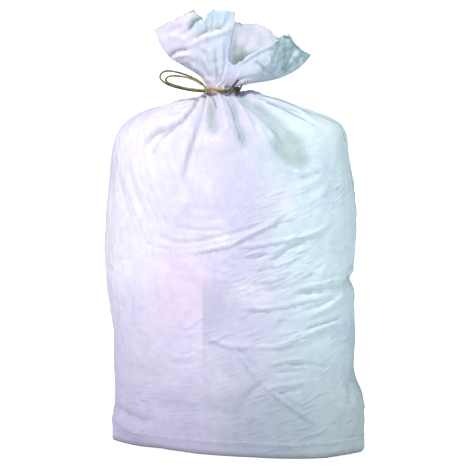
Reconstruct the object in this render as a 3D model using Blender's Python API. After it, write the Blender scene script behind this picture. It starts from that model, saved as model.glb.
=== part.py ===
"""A filled cement bag that stands on its base: woven sack, cement, neck twine and hem thread.

X runs across the bag, -Y is its front and Z is up. The origin is on the floor, under the body.
"""

import math

import bmesh
import bpy
from mathutils import Vector

# Body of the sack, as the cement fills it out
BODY_WIDTH = 0.391
BODY_DEPTH = 0.236
BODY_ROUNDNESS = 2.25
SHOULDER_HEIGHT = 0.461
SHOULDER_WIDTH = 0.369
SHOULDER_DEPTH = 0.222
SHOULDER_LEAN = 0.003
BODY_TURN = math.radians(-8)
FABRIC = 0.002
FIT_GAP = 0.0003

# Foot and hem, with the two sewn corners that end in points
FOOT_DEPTH = 0.180
FOOT_TUCK = 0.006
FOOT_EDGE_HEIGHT = 0.007
HEM_HEIGHT = 0.030
HEM_PROUD = 0.0012
HEM_LEDGE = 0.001
HEM_FADE = 3
CORNER_REACH = 0.170
CORNER_BLUNTNESS = 0.15
CORNER_POINTEDNESS = 0.75
FOOT_SKEW = 0.55
FOOT_BACK = 0.25

# Neck, gathered by the tie
NECK_HEIGHT = 0.562
NECK_LENGTH = 0.014
NECK_WIDTH = 0.046
NECK_DEPTH = 0.038
NECK_SHIFT = -0.020
PASSAGE_RADIUS = 0.005
PLEATS = 16
PLEAT_DEPTH = 0.0045
PLEAT_RISE = 0.8
PLEAT_DRIFT = 0.6
PLEAT_DRIFT_WAVES = 3
NECK_PLEAT_DEPTH = 0.0012

# Twine and thread
TWINE = 0.003
TWINE_TURNS = 2
TWINE_CLEARANCE = 0.0006
TURN_STEPS = 24
KNOT_ANGLE = math.radians(222)
THREAD = 0.0012
STITCH_HEIGHT = 0.021
STITCH_SPAN = math.radians(136)
STITCH_CLEARANCE = 0.0005

ROUND = 84

# Body: share of the height from hem to shoulder, narrower on each side, shift to the right
BODY_STATIONS = (
    (0.00, -0.0040, 0.003),
    (0.12, -0.0015, 0.006),
    (0.21, 0.0065, -0.002),
    (0.33, 0.0060, -0.001),
    (0.44, 0.0030, -0.005),
    (0.56, 0.0020, -0.009),
    (0.68, 0.0000, -0.007),
    (0.80, 0.0010, -0.006),
    (0.91, 0.0060, -0.008),
)

# Shoulder: share of the rise from shoulder to neck, share of the way in, shift to the right
SHOULDER_STATIONS = (
    (0.00, 0.00, -0.008),
    (0.25, 0.03, -0.007),
    (0.44, 0.08, -0.006),
    (0.58, 0.17, -0.007),
    (0.69, 0.31, -0.008),
    (0.77, 0.48, -0.010),
    (0.90, 0.66, -0.010),
    (0.96, 0.86, -0.015),
)

# Mound of the cement: share of the rise from shoulder to neck, share of the way in from its edge
FILL_STATIONS = ((0.20, 0.10), (0.31, 0.28), (0.38, 0.50), (0.42, 0.74))

# Rim of the mouth, from the right tip round the back to the left tip, then along the front:
# right, back and up from the middle of the neck
RIM = (
    (0.139, 0.000, 0.052),
    (0.119, 0.010, 0.064),
    (0.103, 0.014, 0.088),
    (0.087, 0.022, 0.080),
    (0.062, 0.040, 0.098),
    (0.040, 0.044, 0.098),
    (0.020, 0.040, 0.106),
    (0.000, 0.030, 0.122),
    (-0.019, 0.034, 0.121),
    (-0.027, 0.024, 0.106),
    (-0.045, 0.032, 0.121),
    (-0.066, 0.028, 0.112),
    (-0.086, 0.016, 0.102),
    (-0.105, 0.000, 0.094),
    (-0.089, -0.018, 0.086),
    (-0.053, -0.038, 0.080),
    (-0.036, -0.044, 0.088),
    (-0.019, -0.046, 0.094),
    (0.004, -0.046, 0.102),
    (0.014, -0.034, 0.070),
    (0.022, -0.020, 0.050),
    (0.036, -0.036, 0.062),
    (0.053, -0.046, 0.074),
    (0.071, -0.044, 0.082),
    (0.087, -0.034, 0.087),
    (0.103, -0.018, 0.088),
    (0.121, -0.008, 0.064),
)

# Ruffle: share of the way from neck to rim, and how far its inner face keeps out from the middle
RUFFLE_STATIONS = ((0.10, 0.40), (0.24, None), (0.40, None), (0.58, None), (0.78, None), (1.00, None))
RUFFLE_SPREAD = 0.80
RUFFLE_BEND = 0.21
RUFFLE_BEND_SWING = 0.11
RUFFLE_PLEAT_DEPTH = 0.003

# Loops and ends of the twine: right, back and up from the middle of the neck
BACK_LOOP = (
    (-0.021, -0.016, 0.003),
    (-0.030, -0.021, 0.011),
    (-0.042, -0.025, 0.019),
    (-0.058, -0.027, 0.026),
    (-0.073, -0.027, 0.030),
    (-0.084, -0.026, 0.031),
    (-0.092, -0.025, 0.028),
    (-0.095, -0.025, 0.022),
    (-0.092, -0.025, 0.016),
    (-0.081, -0.025, 0.009),
    (-0.068, -0.025, 0.005),
    (-0.050, -0.024, 0.001),
    (-0.034, -0.021, -0.001),
    (-0.022, -0.017, -0.002),
)
FRONT_LOOP = (
    (-0.021, -0.019, 0.004),
    (-0.031, -0.025, 0.010),
    (-0.042, -0.030, 0.017),
    (-0.056, -0.032, 0.022),
    (-0.071, -0.032, 0.024),
    (-0.081, -0.031, 0.023),
    (-0.086, -0.030, 0.019),
    (-0.084, -0.030, 0.014),
    (-0.077, -0.030, 0.011),
    (-0.061, -0.029, 0.006),
    (-0.043, -0.027, 0.003),
    (-0.030, -0.024, 0.001),
    (-0.022, -0.019, 0.000),
)
FRONT_END = (
    (-0.021, -0.019, 0.003),
    (-0.010, -0.0250, 0.0025),
    (0.001, -0.0270, 0.0010),
    (0.010, -0.0280, 0.0020),
    (0.016, -0.0300, 0.0070),
    (0.021, -0.0320, 0.0130),
    (0.025, -0.0340, 0.0180),
)
SIDE_END = (
    (0.0230, -0.012, 0.0020),
    (0.0250, -0.018, 0.0030),
    (0.0280, -0.023, 0.0060),
    (0.0310, -0.027, 0.0100),
    (0.0350, -0.030, 0.0135),
    (0.0400, -0.033, 0.0160),
)
KNOT_AT = (-0.0225, -0.0185, 0.002)
KNOT_RING = 0.0034
KNOT_RING_TWINE = 0.0036
KNOT_RING_LEAN = 0.3
PATH_STEP = 0.008


def clear_scene():
    for found in list(bpy.data.objects):
        bpy.data.objects.remove(found)


def material(name, colour, roughness):
    made = bpy.data.materials.new(name)
    made.use_nodes = True
    shader = made.node_tree.nodes["Principled BSDF"]
    shader.inputs["Base Color"].default_value = (*colour, 1.0)
    shader.inputs["Roughness"].default_value = roughness
    shader.inputs["Metallic"].default_value = 0.0
    return made


def smooth_path(points, step):
    """Points about a step apart on a smooth curve through the given ones."""
    points = [Vector(p) for p in points]
    last = len(points) - 1
    path = []
    for i in range(last):
        a, b, c, d = points[max(i - 1, 0)], points[i], points[i + 1], points[min(i + 2, last)]
        pieces = max(1, round((c - b).length / step))
        for k in range(pieces):
            path.append(spline_point(a, b, c, d, k / pieces))
    path.append(points[-1])
    return path


def spline_point(a, b, c, d, u):
    """Catmull-Rom point between b and c."""
    return 0.5 * (2 * b + (c - a) * u + (2 * a - 5 * b + 4 * c - d) * u**2 + (3 * (b - c) + d - a) * u**3)


def tube(name, path, diameter, closed=False):
    """A round tube of that diameter along a path, as an object."""
    line = bpy.data.curves.new(name, "CURVE")
    line.dimensions = "3D"
    line.bevel_depth = diameter / 2
    line.bevel_resolution = 2
    line.use_fill_caps = not closed
    spline = line.splines.new("POLY")
    spline.points.add(len(path) - 1)
    for point, place in zip(spline.points, path):
        point.co = (*place, 1.0)
    spline.use_cyclic_u = closed
    made = bpy.data.objects.new(name, line)
    bpy.context.scene.collection.objects.link(made)
    return made


def power(value, exponent):
    return math.copysign(abs(value) ** exponent, value)


def near_floor(height):
    """How much of the foot's pointed form shows at that height: all on the floor, none above its reach."""
    return max(0.0, 1 - height / CORNER_REACH) ** 2


class Ring:
    """One level of the body: its half sizes, its place and how its outline is drawn."""

    def __init__(self, height, half_width, half_depth, shift, pleat=0.0, hem=0.0, tilt=0.0):
        self.height = height
        self.half_width = half_width
        self.half_depth = half_depth
        self.shift = shift
        self.pleat = pleat
        self.hem = hem
        self.tilt = tilt
        self.out, self.up = 1.0, 0.0

    def outline_point(self, turn):
        """The point of the plain outline at that angle, before it is turned and shifted."""
        foot = near_floor(self.height) * (1.0 if math.sin(turn) < 0 else FOOT_BACK)
        ends = 2 / (BODY_ROUNDNESS + CORNER_BLUNTNESS * foot)
        faces = 2 / (BODY_ROUNDNESS - CORNER_POINTEDNESS * foot)
        half_depth = self.half_depth + foot * (FOOT_DEPTH - BODY_DEPTH) / 2
        x = self.half_width * power(math.cos(turn), ends)
        y = half_depth * power(math.sin(turn), faces)
        return Vector((x - FOOT_SKEW * foot * y, y, 0))

    def point(self, turn, offset):
        """The point at that angle, moved out from the wall's outer face by the offset."""
        step = math.pi / ROUND
        along = self.outline_point(turn + step) - self.outline_point(turn - step)
        normal = along.cross(Vector((0, 0, 1))).normalized()
        if math.sin(turn) < 0:
            offset += self.hem * min(1.0, -HEM_FADE * math.sin(turn))
        offset += self.pleat * math.cos(PLEATS * turn + PLEAT_DRIFT * math.sin(PLEAT_DRIFT_WAVES * turn))
        place = self.outline_point(turn) + normal * offset * self.out
        cos, sin = math.cos(BODY_TURN), math.sin(BODY_TURN)
        x, y = place.x * cos - place.y * sin, place.x * sin + place.y * cos
        z = self.height + offset * self.up + self.tilt * math.cos(turn)
        return Vector((self.shift + x, y, z))


def lean(rings):
    """Gives each ring the direction that its wall faces, from its neighbours."""
    for i, ring in enumerate(rings):
        below, above = rings[max(i - 1, 0)], rings[min(i + 1, len(rings) - 1)]
        rise = above.height - below.height
        widen = (above.half_width + above.half_depth - below.half_width - below.half_depth) / 2
        length = math.hypot(rise, widen)
        ring.out, ring.up = rise / length, -widen / length


def body_rings():
    rings = []
    for share, narrower, shift in BODY_STATIONS:
        height = HEM_HEIGHT + share * (SHOULDER_HEIGHT - HEM_HEIGHT)
        rings.append(Ring(height, BODY_WIDTH / 2 - narrower, BODY_DEPTH / 2, shift))
    return rings


def shoulder_height(rise):
    """The height at that share of the rise from the shoulder to the underside of the neck."""
    return SHOULDER_HEIGHT + rise * (NECK_HEIGHT - NECK_LENGTH / 2 - SHOULDER_HEIGHT)


def shoulder_rings():
    rings = []
    for rise, inward, shift in SHOULDER_STATIONS:
        half_width = (SHOULDER_WIDTH + inward * (NECK_WIDTH - SHOULDER_WIDTH)) / 2
        half_depth = (SHOULDER_DEPTH + inward * (NECK_DEPTH - SHOULDER_DEPTH)) / 2
        pleat = PLEAT_DEPTH * math.sin(math.pi * inward**PLEAT_RISE) + NECK_PLEAT_DEPTH * inward
        tilt = SHOULDER_LEAN * inward
        rings.append(Ring(shoulder_height(rise), half_width, half_depth, shift, pleat, tilt=tilt))
    return rings


def neck_rings():
    heights = (NECK_HEIGHT - NECK_LENGTH / 2, NECK_HEIGHT + NECK_LENGTH / 2)
    return [Ring(h, NECK_WIDTH / 2, NECK_DEPTH / 2, NECK_SHIFT, NECK_PLEAT_DEPTH) for h in heights]


def foot_rings():
    """The edge on the floor, and the hem that stands a little proud along the front."""
    _, narrower, shift = BODY_STATIONS[0]
    half_width, half_depth = BODY_WIDTH / 2 - narrower, BODY_DEPTH / 2
    rings = [Ring(0.0, half_width - FOOT_TUCK, half_depth - FOOT_TUCK, shift)]
    for height in (FOOT_EDGE_HEIGHT, HEM_HEIGHT - HEM_LEDGE):
        rings.append(Ring(height, half_width, half_depth, shift, hem=HEM_PROUD))
    return rings


def angles():
    return [2 * math.pi * i / ROUND for i in range(ROUND)]


def rim_point(turn):
    """The mouth's rim at that angle, on a smooth closed curve through its points."""
    along = turn / (2 * math.pi) * len(RIM)
    i = int(along) % len(RIM)
    a, b, c, d = (Vector(RIM[(i + k) % len(RIM)]) for k in (-1, 0, 1, 2))
    return spline_point(a, b, c, d, along - int(along)) + neck_middle()


def neck_middle():
    return Vector((NECK_SHIFT, 0, NECK_HEIGHT))


def ruffle_outline(share):
    """The outer face of the ruffle, that share of the way from the neck to the rim."""
    top = neck_rings()[-1]
    outline = []
    for turn in angles():
        start, end = top.point(turn, 0.0), rim_point(turn)
        bend = start.lerp(end, RUFFLE_SPREAD)
        bend.z = start.z + (end.z - start.z) * (RUFFLE_BEND - RUFFLE_BEND_SWING * math.cos(turn))
        place = (1 - share) ** 2 * start + 2 * share * (1 - share) * bend + share**2 * end
        swell = RUFFLE_PLEAT_DEPTH * 4 * share * (1 - share) * math.cos(PLEATS * turn)
        away = Vector((math.cos(turn), math.sin(turn), 0))
        outline.append(place + away * swell)
    return outline


def moved_in(outlines, level, distance):
    """One of several outlines of a skin, moved in square to the skin."""
    below, above = outlines[max(level - 1, 0)], outlines[min(level + 1, len(outlines) - 1)]
    outline = outlines[level]
    moved = []
    for i, place in enumerate(outline):
        along = outline[(i + 1) % len(outline)] - outline[i - 1]
        normal = along.cross(above[i] - below[i]).normalized()
        moved.append(place - normal * distance)
    return moved


def drawn_in(outline, share):
    """An outline drawn in towards the middle of the neck."""
    middle = neck_middle()
    return [Vector((middle.x + (p.x - middle.x) * share, p.y * share, p.z)) for p in outline]


def passage_outline(height, radius):
    middle = neck_middle()
    return [Vector((middle.x + radius * math.cos(t), radius * math.sin(t), height)) for t in angles()]


def sack_outlines():
    """Every level of the sack's skin: up the outside to the rim, then down the inside to the floor."""
    wall = [*body_rings(), *shoulder_rings()]
    lean([*wall, neck_rings()[0]])
    foot = foot_rings()
    outside = [[ring.point(t, 0.0) for t in angles()] for ring in [*foot, *wall, *neck_rings()]]
    ruffle = [ruffle_outline(share) for share, _ in RUFFLE_STATIONS]
    outside += ruffle
    inside = []
    for level in reversed(range(len(ruffle))):
        keep = RUFFLE_STATIONS[level][1]
        thin = keep is None
        inside.append(moved_in(ruffle, level, FABRIC) if thin else drawn_in(ruffle[level], keep))
    inside.append(passage_outline(NECK_HEIGHT + NECK_LENGTH / 2, PASSAGE_RADIUS))
    inside.append(passage_outline(NECK_HEIGHT - NECK_LENGTH / 2, PASSAGE_RADIUS))
    inside += [[ring.point(t, -FABRIC) for t in angles()] for ring in reversed(wall)]
    return outside + inside + foot_outlines(FABRIC)[::-1]


def foot_outlines(depth):
    """The floor and its edge on the inside, that deep under the skin and clear of the hem."""
    floor, edge = foot_rings()[:2]
    edge.hem = 0.0
    return [
        [raised(floor.point(t, -depth), depth) for t in angles()],
        [edge.point(t, -depth) for t in angles()],
    ]


def raised(place, height):
    return Vector((place.x, place.y, height))


def loft(name, outlines):
    """A closed body through level outlines, capped at the first and the last."""
    bm = bmesh.new()
    ring = [bm.verts.new(place) for place in outlines[0]]
    edges = [bm.edges.new((ring[i - 1], ring[i])) for i in range(len(ring))]
    bmesh.ops.contextual_create(bm, geom=edges)
    for outline in outlines[1:]:
        made = bmesh.ops.extrude_edge_only(bm, edges=edges)["geom"]
        fresh = {v for v in made if isinstance(v, bmesh.types.BMVert)}
        edges = [e for e in made if isinstance(e, bmesh.types.BMEdge)]
        last = ring
        ring = [next(e.other_vert(v) for e in v.link_edges if e.other_vert(v) in fresh) for v in last]
        for vert, place in zip(ring, outline):
            vert.co = place
        split_walls(last, ring)
    bmesh.ops.contextual_create(bm, geom=edges)
    bmesh.ops.recalc_face_normals(bm, faces=bm.faces)
    return finish_mesh(name, bm)


def split_walls(last, ring):
    """Splits each face between two levels the same way, so that nested bodies have matching facets."""
    for i, vert in enumerate(last):
        across = ring[(i + 1) % len(ring)]
        face = next(f for f in vert.link_faces if across in f.verts)
        bmesh.utils.face_split(face, vert, across)


def finish_mesh(name, bm):
    mesh = bpy.data.meshes.new(name)
    bm.to_mesh(mesh)
    bm.free()
    mesh.shade_smooth()
    mesh.set_sharp_from_angle(angle=math.radians(50))
    made = bpy.data.objects.new(name, mesh)
    bpy.context.scene.collection.objects.link(made)
    return made


def make_sack():
    sack = loft("woven_sack", sack_outlines())
    sack.data.materials.append(material("woven_fabric", (0.82, 0.83, 0.88), 0.55))


def fill_outlines():
    """The cement, a small gap inside the sack up to its shoulder, with a low mound on top."""
    clear = FABRIC + FIT_GAP
    wall = [*body_rings(), *shoulder_rings()]
    lean([*wall, neck_rings()[0]])
    held = wall[: len(BODY_STATIONS) + 1]
    outlines = foot_outlines(clear)
    outlines += [[ring.point(t, -clear) for t in angles()] for ring in held]
    edge = outlines[-1]
    middle = sum(edge, Vector()) / len(edge)
    for rise, inward in FILL_STATIONS:
        drawn = [middle + (p - middle) * (1 - inward) for p in edge]
        outlines.append([raised(p, shoulder_height(rise)) for p in drawn])
    return outlines[::-1]


def make_fill():
    fill = loft("cement_fill", fill_outlines())
    fill.data.materials.append(material("cement_powder", (0.42, 0.42, 0.40), 0.95))


def wrap_path():
    """The turns round the neck, side by side, starting and ending at the knot."""
    neck = neck_rings()[0]
    neck.pleat = 0.0
    clear = NECK_PLEAT_DEPTH + TWINE_CLEARANCE + TWINE / 2
    pitch = TWINE + FIT_GAP
    steps = TURN_STEPS * TWINE_TURNS
    path = []
    for i in range(steps + 1):
        turn = KNOT_ANGLE + TWINE_TURNS * 2 * math.pi * i / steps
        height = NECK_HEIGHT + pitch * (i / steps - 0.5) * TWINE_TURNS
        path.append(raised(neck.point(turn, clear), height))
    return path


def knot_ring():
    """The turn of twine round the loops, against the neck."""
    steps = TURN_STEPS // 2
    ring = []
    for i in range(steps):
        cos, sin = math.cos(2 * math.pi * i / steps), math.sin(2 * math.pi * i / steps)
        ring.append(Vector(KNOT_AT) + KNOT_RING * Vector((KNOT_RING_LEAN * cos, cos, sin)))
    return ring


def make_tie():
    middle = neck_middle()
    tie = tube("neck_tie", wrap_path(), TWINE)
    for name, route in (
        ("back_loop", BACK_LOOP),
        ("front_loop", FRONT_LOOP),
        ("front_end", FRONT_END),
        ("side_end", SIDE_END),
    ):
        path = [p + middle for p in smooth_path(route, PATH_STEP)]
        tie = join_to(tie, tube(name, path, TWINE))
    tie = join_to(tie, tube("knot", [p + middle for p in knot_ring()], KNOT_RING_TWINE, closed=True))
    tie.data.materials.append(material("twine", (0.42, 0.34, 0.14), 0.85))


def join_to(first, second):
    """The union of two closed bodies, as one mesh object with the first one's name."""
    name = first.name
    first, second = as_mesh(first), as_mesh(second)
    union = first.modifiers.new("union", "BOOLEAN")
    union.operation = "UNION"
    union.solver = "EXACT"
    union.object = second
    joined = as_mesh(first)
    bpy.data.objects.remove(second)
    joined.name = name
    return joined


def as_mesh(source):
    """The evaluated shape of an object as a plain mesh object, in the source's place."""
    bpy.context.view_layer.update()
    seen = source.evaluated_get(bpy.context.evaluated_depsgraph_get())
    mesh = bpy.data.meshes.new_from_object(seen)
    name = source.name
    bpy.data.objects.remove(source)
    bm = bmesh.new()
    bm.from_mesh(mesh)
    bmesh.ops.remove_doubles(bm, verts=bm.verts, dist=0.00001)
    bmesh.ops.recalc_face_normals(bm, faces=bm.faces)
    return finish_mesh(name, bm)


def make_thread():
    """The sewing thread, along the front of the hem from corner to corner."""
    edge, top = foot_rings()[1:]
    up = (STITCH_HEIGHT - edge.height) / (top.height - edge.height)
    clear = STITCH_CLEARANCE + THREAD / 2
    front = 3 * math.pi / 2
    stitched = [t for t in angles() if abs(t - front) < STITCH_SPAN / 2]
    route = [edge.point(t, clear).lerp(top.point(t, clear), up) for t in stitched]
    thread = tube("hem_thread", route, THREAD)
    thread.data.materials.append(material("sewing_thread", (0.88, 0.88, 0.86), 0.7))


def main():
    clear_scene()
    make_sack()
    make_fill()
    make_tie()
    make_thread()


main()
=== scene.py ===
import math
import random

import bmesh
import bpy
import numpy as np
from mathutils import Matrix, Vector, noise


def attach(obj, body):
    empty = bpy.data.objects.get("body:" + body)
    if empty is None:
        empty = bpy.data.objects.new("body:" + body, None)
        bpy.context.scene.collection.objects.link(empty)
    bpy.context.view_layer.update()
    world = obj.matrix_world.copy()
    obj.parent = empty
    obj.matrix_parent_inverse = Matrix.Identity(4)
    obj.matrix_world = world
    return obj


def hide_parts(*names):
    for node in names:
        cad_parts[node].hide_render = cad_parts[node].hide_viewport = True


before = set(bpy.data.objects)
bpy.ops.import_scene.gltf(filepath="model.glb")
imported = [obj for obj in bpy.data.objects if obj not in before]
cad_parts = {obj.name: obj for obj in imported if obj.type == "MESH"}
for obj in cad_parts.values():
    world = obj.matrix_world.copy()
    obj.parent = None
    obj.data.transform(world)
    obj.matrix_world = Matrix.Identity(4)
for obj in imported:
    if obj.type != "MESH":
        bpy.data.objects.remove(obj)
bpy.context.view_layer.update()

print("frame loaded:", sorted(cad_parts))

# camera: the photograph's own view, as many pixels each way
view = {
    "pixels": 470,
    "distance": 4.0,
    "elevation": 9.0,
    "aim": (0.0, 0.0, 0.334),
    "metresPerPixel": 0.00156,
    "sensor": 36.0,
}


def cameraAxes():
    tilt = math.radians(view["elevation"])
    forward = np.array((0.0, math.cos(tilt), -math.sin(tilt)))
    right = np.array((1.0, 0.0, 0.0))
    return right, np.cross(right, forward), forward


def placeCamera():
    right, up, forward = cameraAxes()
    lens = bpy.data.cameras.new("camera")
    lens.sensor_width = view["sensor"]
    lens.lens = view["sensor"] / view["pixels"] * view["distance"] / view["metresPerPixel"]
    lens.clip_end = 30.0
    camera = bpy.data.objects.new("camera", lens)
    camera.location = Vector(view["aim"]) - view["distance"] * Vector(forward)
    camera.rotation_euler = (math.radians(90 - view["elevation"]), 0.0, 0.0)
    bpy.context.scene.collection.objects.link(camera)
    bpy.context.scene.camera = camera


def photoPixels(points, behind=False):
    # where points show in the photograph, or in its twin taken from behind
    right, up, forward = cameraAxes()
    points = points * np.array((-1.0, -1.0, 1.0)) if behind else points
    away = points - (np.array(view["aim"]) - view["distance"] * forward)
    scale = view["distance"] / view["metresPerPixel"] / (away @ forward)
    middle = view["pixels"] / 2
    return middle + scale * (away @ right), middle - scale * (away @ up)


placeCamera()


# shader maths as expressions on sockets
class Wire:
    def __init__(self, tree, socket):
        self.tree, self.socket = tree, socket

    def node(self, kind, settings=None, inputs=None, out=0):
        made = self.tree.nodes.new("ShaderNode" + kind)
        for key, value in (settings or {}).items():
            if key == "stops":
                self.setStops(made.color_ramp.elements, value)
            else:
                setattr(made, key, value)
        for key, value in (inputs or {}).items():
            if isinstance(value, Wire):
                self.tree.links.new(value.socket, made.inputs[key])
            else:
                made.inputs[key].default_value = value
        return Wire(self.tree, made.outputs[out])

    def setStops(self, elements, stops):
        while len(elements) < len(stops):
            elements.new(1.0)
        for element, (place, grey) in zip(elements, stops):
            element.position = place
            element.color = (grey, grey, grey, 1.0)

    def math(self, operation, *values):
        return self.node("Math", {"operation": operation}, dict(enumerate(values)))

    def __add__(self, other):
        return self.math("ADD", self, other)

    def __mul__(self, other):
        return self.math("MULTIPLY", self, other)

    def __sub__(self, other):
        return self.math("SUBTRACT", self, other)

    def __rsub__(self, other):
        return self.math("SUBTRACT", other, self)

    def __pow__(self, other):
        return self.math("POWER", self, other)

    def __abs__(self):
        return self.math("ABSOLUTE", self)

    __radd__, __rmul__ = __add__, __mul__

    def rising(self, low, high):
        # 0 up to low, 1 from high, and smooth between them
        inputs = {0: self, 1: low, 2: high, 3: 0.0, 4: 1.0}
        return self.node("MapRange", {"interpolation_type": "SMOOTHSTEP"}, inputs)

    def below(self, edge, soft):
        # 1 well below the edge, 0 from the edge upwards
        return (edge - self).rising(0.0, soft)

    def blend(self, first, second):
        # this value mixes two colours
        pair = {6: first, 7: second}
        pair = {key: value if isinstance(value, Wire) else (*value, 1.0) for key, value in pair.items()}
        return self.node("Mix", {"data_type": "RGBA"}, {0: self, **pair}, out=2)

    def part(self, axis):
        return self.node("SeparateXYZ", inputs={0: self}, out=axis)

    def vector(self, operation, inputs, out=0):
        return self.node("VectorMath", {"operation": operation}, inputs, out)

    def stretched(self, factors):
        return self.vector("MULTIPLY", {0: self, 1: factors})

    def noise(self, scale, detail=3.0, rough=0.5, kind="FBM"):
        inputs = {"Vector": self, "Scale": scale, "Detail": detail, "Roughness": rough}
        return self.node("TexNoise", {"noise_dimensions": "3D", "noise_type": kind}, inputs)

    def feed(self, shader, name):
        self.tree.links.new(self.socket, shader.inputs[name])


def newMaterial(name, constants):
    # the material, a wire to start its nodes from, its object coordinates and its shader
    made = bpy.data.materials.new(name)
    made.use_nodes = True
    shader = made.node_tree.nodes["Principled BSDF"]
    for key, value in constants.items():
        shader.inputs[key].default_value = value
    start = Wire(made.node_tree, None)
    return made, start, start.node("TexCoord", out=3), shader


# smooth curves
def splinePoint(a, b, c, d, u):
    return 0.5 * (2 * b + (c - a) * u + (2 * a - 5 * b + 4 * c - d) * u**2 + (3 * (b - c) + d - a) * u**3)


def smoothPath(points, step):
    points = [Vector(p) for p in points]
    last = len(points) - 1
    path = []
    for i in range(last):
        a, b, c, d = points[max(i - 1, 0)], points[i], points[i + 1], points[min(i + 2, last)]
        pieces = max(1, round((c - b).length / step))
        path += [splinePoint(a, b, c, d, k / pieces) for k in range(pieces)]
    return path + [points[-1]]


def pathFrames(path):
    # a turning frame along the path that never twists
    side = None
    frames = []
    for i, place in enumerate(path):
        ahead = (path[min(i + 1, len(path) - 1)] - path[max(i - 1, 0)]).normalized()
        if side is None:
            side = ahead.orthogonal()
        side = (side - ahead * side.dot(ahead)).normalized()
        frames.append((place, side.copy(), ahead.cross(side)))
    return frames


def link(name, mesh, material):
    made = bpy.data.objects.new(name, mesh)
    bpy.context.scene.collection.objects.link(made)
    mesh.materials.append(material)
    return made


def tubeInto(bm, path, radius, sides, taper=0.0):
    # a tube swept along a path, its rings extruded one from the other
    ring = bmesh.ops.create_circle(bm, segments=sides, radius=radius)["verts"]
    edges = sorted({e for v in ring for e in v.link_edges}, key=lambda e: e.index)
    first, ringNow = list(edges), list(ring)
    for k, (place, side, up) in enumerate(pathFrames(path)):
        share = k / (len(path) - 1)
        here = radius * (1 - taper * share)
        if k:
            made = bmesh.ops.extrude_edge_only(bm, edges=edges)["geom"]
            fresh = {v for v in made if isinstance(v, bmesh.types.BMVert)}
            edges = [e for e in made if isinstance(e, bmesh.types.BMEdge)]
            grown = [[e.other_vert(v) for e in v.link_edges if e.other_vert(v) in fresh] for v in ringNow]
            ringNow = [others[0] for others in grown]
        for n, vert in enumerate(ringNow):
            turn = 2 * math.pi * n / sides
            vert.co = place + here * (side * math.cos(turn) + up * math.sin(turn))
    bmesh.ops.contextual_create(bm, geom=first)
    bmesh.ops.contextual_create(bm, geom=edges)


def finishMesh(name, bm, outward=False):
    # faces that already point outwards are left as they are
    if not outward:
        bmesh.ops.recalc_face_normals(bm, faces=bm.faces)
    mesh = bpy.data.meshes.new(name)
    bm.to_mesh(mesh)
    bm.free()
    mesh.shade_smooth()
    return mesh


# twine
twine = {
    "diameter": 0.003,
    "neckMiddle": (-0.020, 0.0, 0.562),
    "neckHalf": (0.0263, 0.0223),  # centre of the twine round the neck
    "neckSquare": 0.89,  # below 1, the turns round the neck are a little square
    "bodyTurn": math.radians(-8),
    "strands": 3,
    "strandRadius": 0.305,  # strands, as shares of the twine's diameter
    "strandOffset": 0.255,
    "twist": 0.0085,  # length of one full twist
    "step": 0.0016,
    "hairs": 130,
    "hairReach": (0.0008, 0.0020),
    "hairRadius": 0.00009,
}
twineRoute = {  # each point from the middle of the neck
    "sideEnd": (
        (0.0400, -0.033, 0.0160), (0.0350, -0.030, 0.0135),
        (0.0310, -0.027, 0.0100), (0.0285, -0.021, 0.0040),
    ),
    "firstTurn": (-14, 214, -0.0052, -0.0048, 12),  # from angle, to angle, from height, to height, points
    "toBackLoop": ((-0.0245, -0.0190, -0.0035), (-0.0235, -0.0195, 0.0015)),
    "backLoop": (
        (-0.030, -0.021, 0.011), (-0.042, -0.025, 0.019), (-0.058, -0.027, 0.026), (-0.073, -0.027, 0.030),
        (-0.084, -0.026, 0.031), (-0.092, -0.025, 0.028), (-0.095, -0.025, 0.022), (-0.092, -0.025, 0.016),
        (-0.081, -0.025, 0.009), (-0.068, -0.025, 0.005), (-0.050, -0.024, 0.001), (-0.034, -0.021, -0.001),
    ),
    "toFrontLoop": ((-0.0215, -0.0180, -0.0015), (-0.0200, -0.0205, 0.0020)),
    "frontLoop": (
        (-0.031, -0.025, 0.010), (-0.042, -0.030, 0.017), (-0.056, -0.032, 0.022), (-0.071, -0.032, 0.024),
        (-0.081, -0.031, 0.023), (-0.086, -0.030, 0.019), (-0.084, -0.030, 0.014), (-0.077, -0.030, 0.011),
        (-0.061, -0.029, 0.006), (-0.043, -0.027, 0.003), (-0.030, -0.024, 0.001),
    ),
    "toTurns": ((-0.0235, -0.0210, 0.0000),),
    "lastTurns": (240, 930, -0.0022, 0.0036, 34),
    "frontEnd": (
        (-0.010, -0.0255, 0.0045), (0.001, -0.0272, 0.0020), (0.010, -0.0282, 0.0020),
        (0.016, -0.0300, 0.0070), (0.021, -0.0320, 0.0130), (0.025, -0.0340, 0.0180),
    ),
}


def wrapPoints(start, end, low, high, count):
    # turns round the neck between two angles, rising from low to high
    points = []
    (halfWidth, halfDepth), square = twine["neckHalf"], twine["neckSquare"]
    leanCos, leanSin = math.cos(twine["bodyTurn"]), math.sin(twine["bodyTurn"])
    for i in range(count + 1):
        turn = math.radians(start + (end - start) * i / count)
        x = halfWidth * math.copysign(abs(math.cos(turn)) ** square, math.cos(turn))
        y = halfDepth * math.copysign(abs(math.sin(turn)) ** square, math.sin(turn))
        z = low + (high - low) * i / count
        points.append((x * leanCos - y * leanSin, x * leanSin + y * leanCos, z))
    return points


def twinePath():
    route = twineRoute
    points = [*route["sideEnd"], *wrapPoints(*route["firstTurn"]), *route["toBackLoop"], *route["backLoop"]]
    points += [*route["toFrontLoop"], *route["frontLoop"], *route["toTurns"]]
    points += [*wrapPoints(*route["lastTurns"]), *route["frontEnd"]]
    middle = Vector(twine["neckMiddle"])
    return smoothPath([Vector(p) + middle for p in points], twine["step"])


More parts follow.
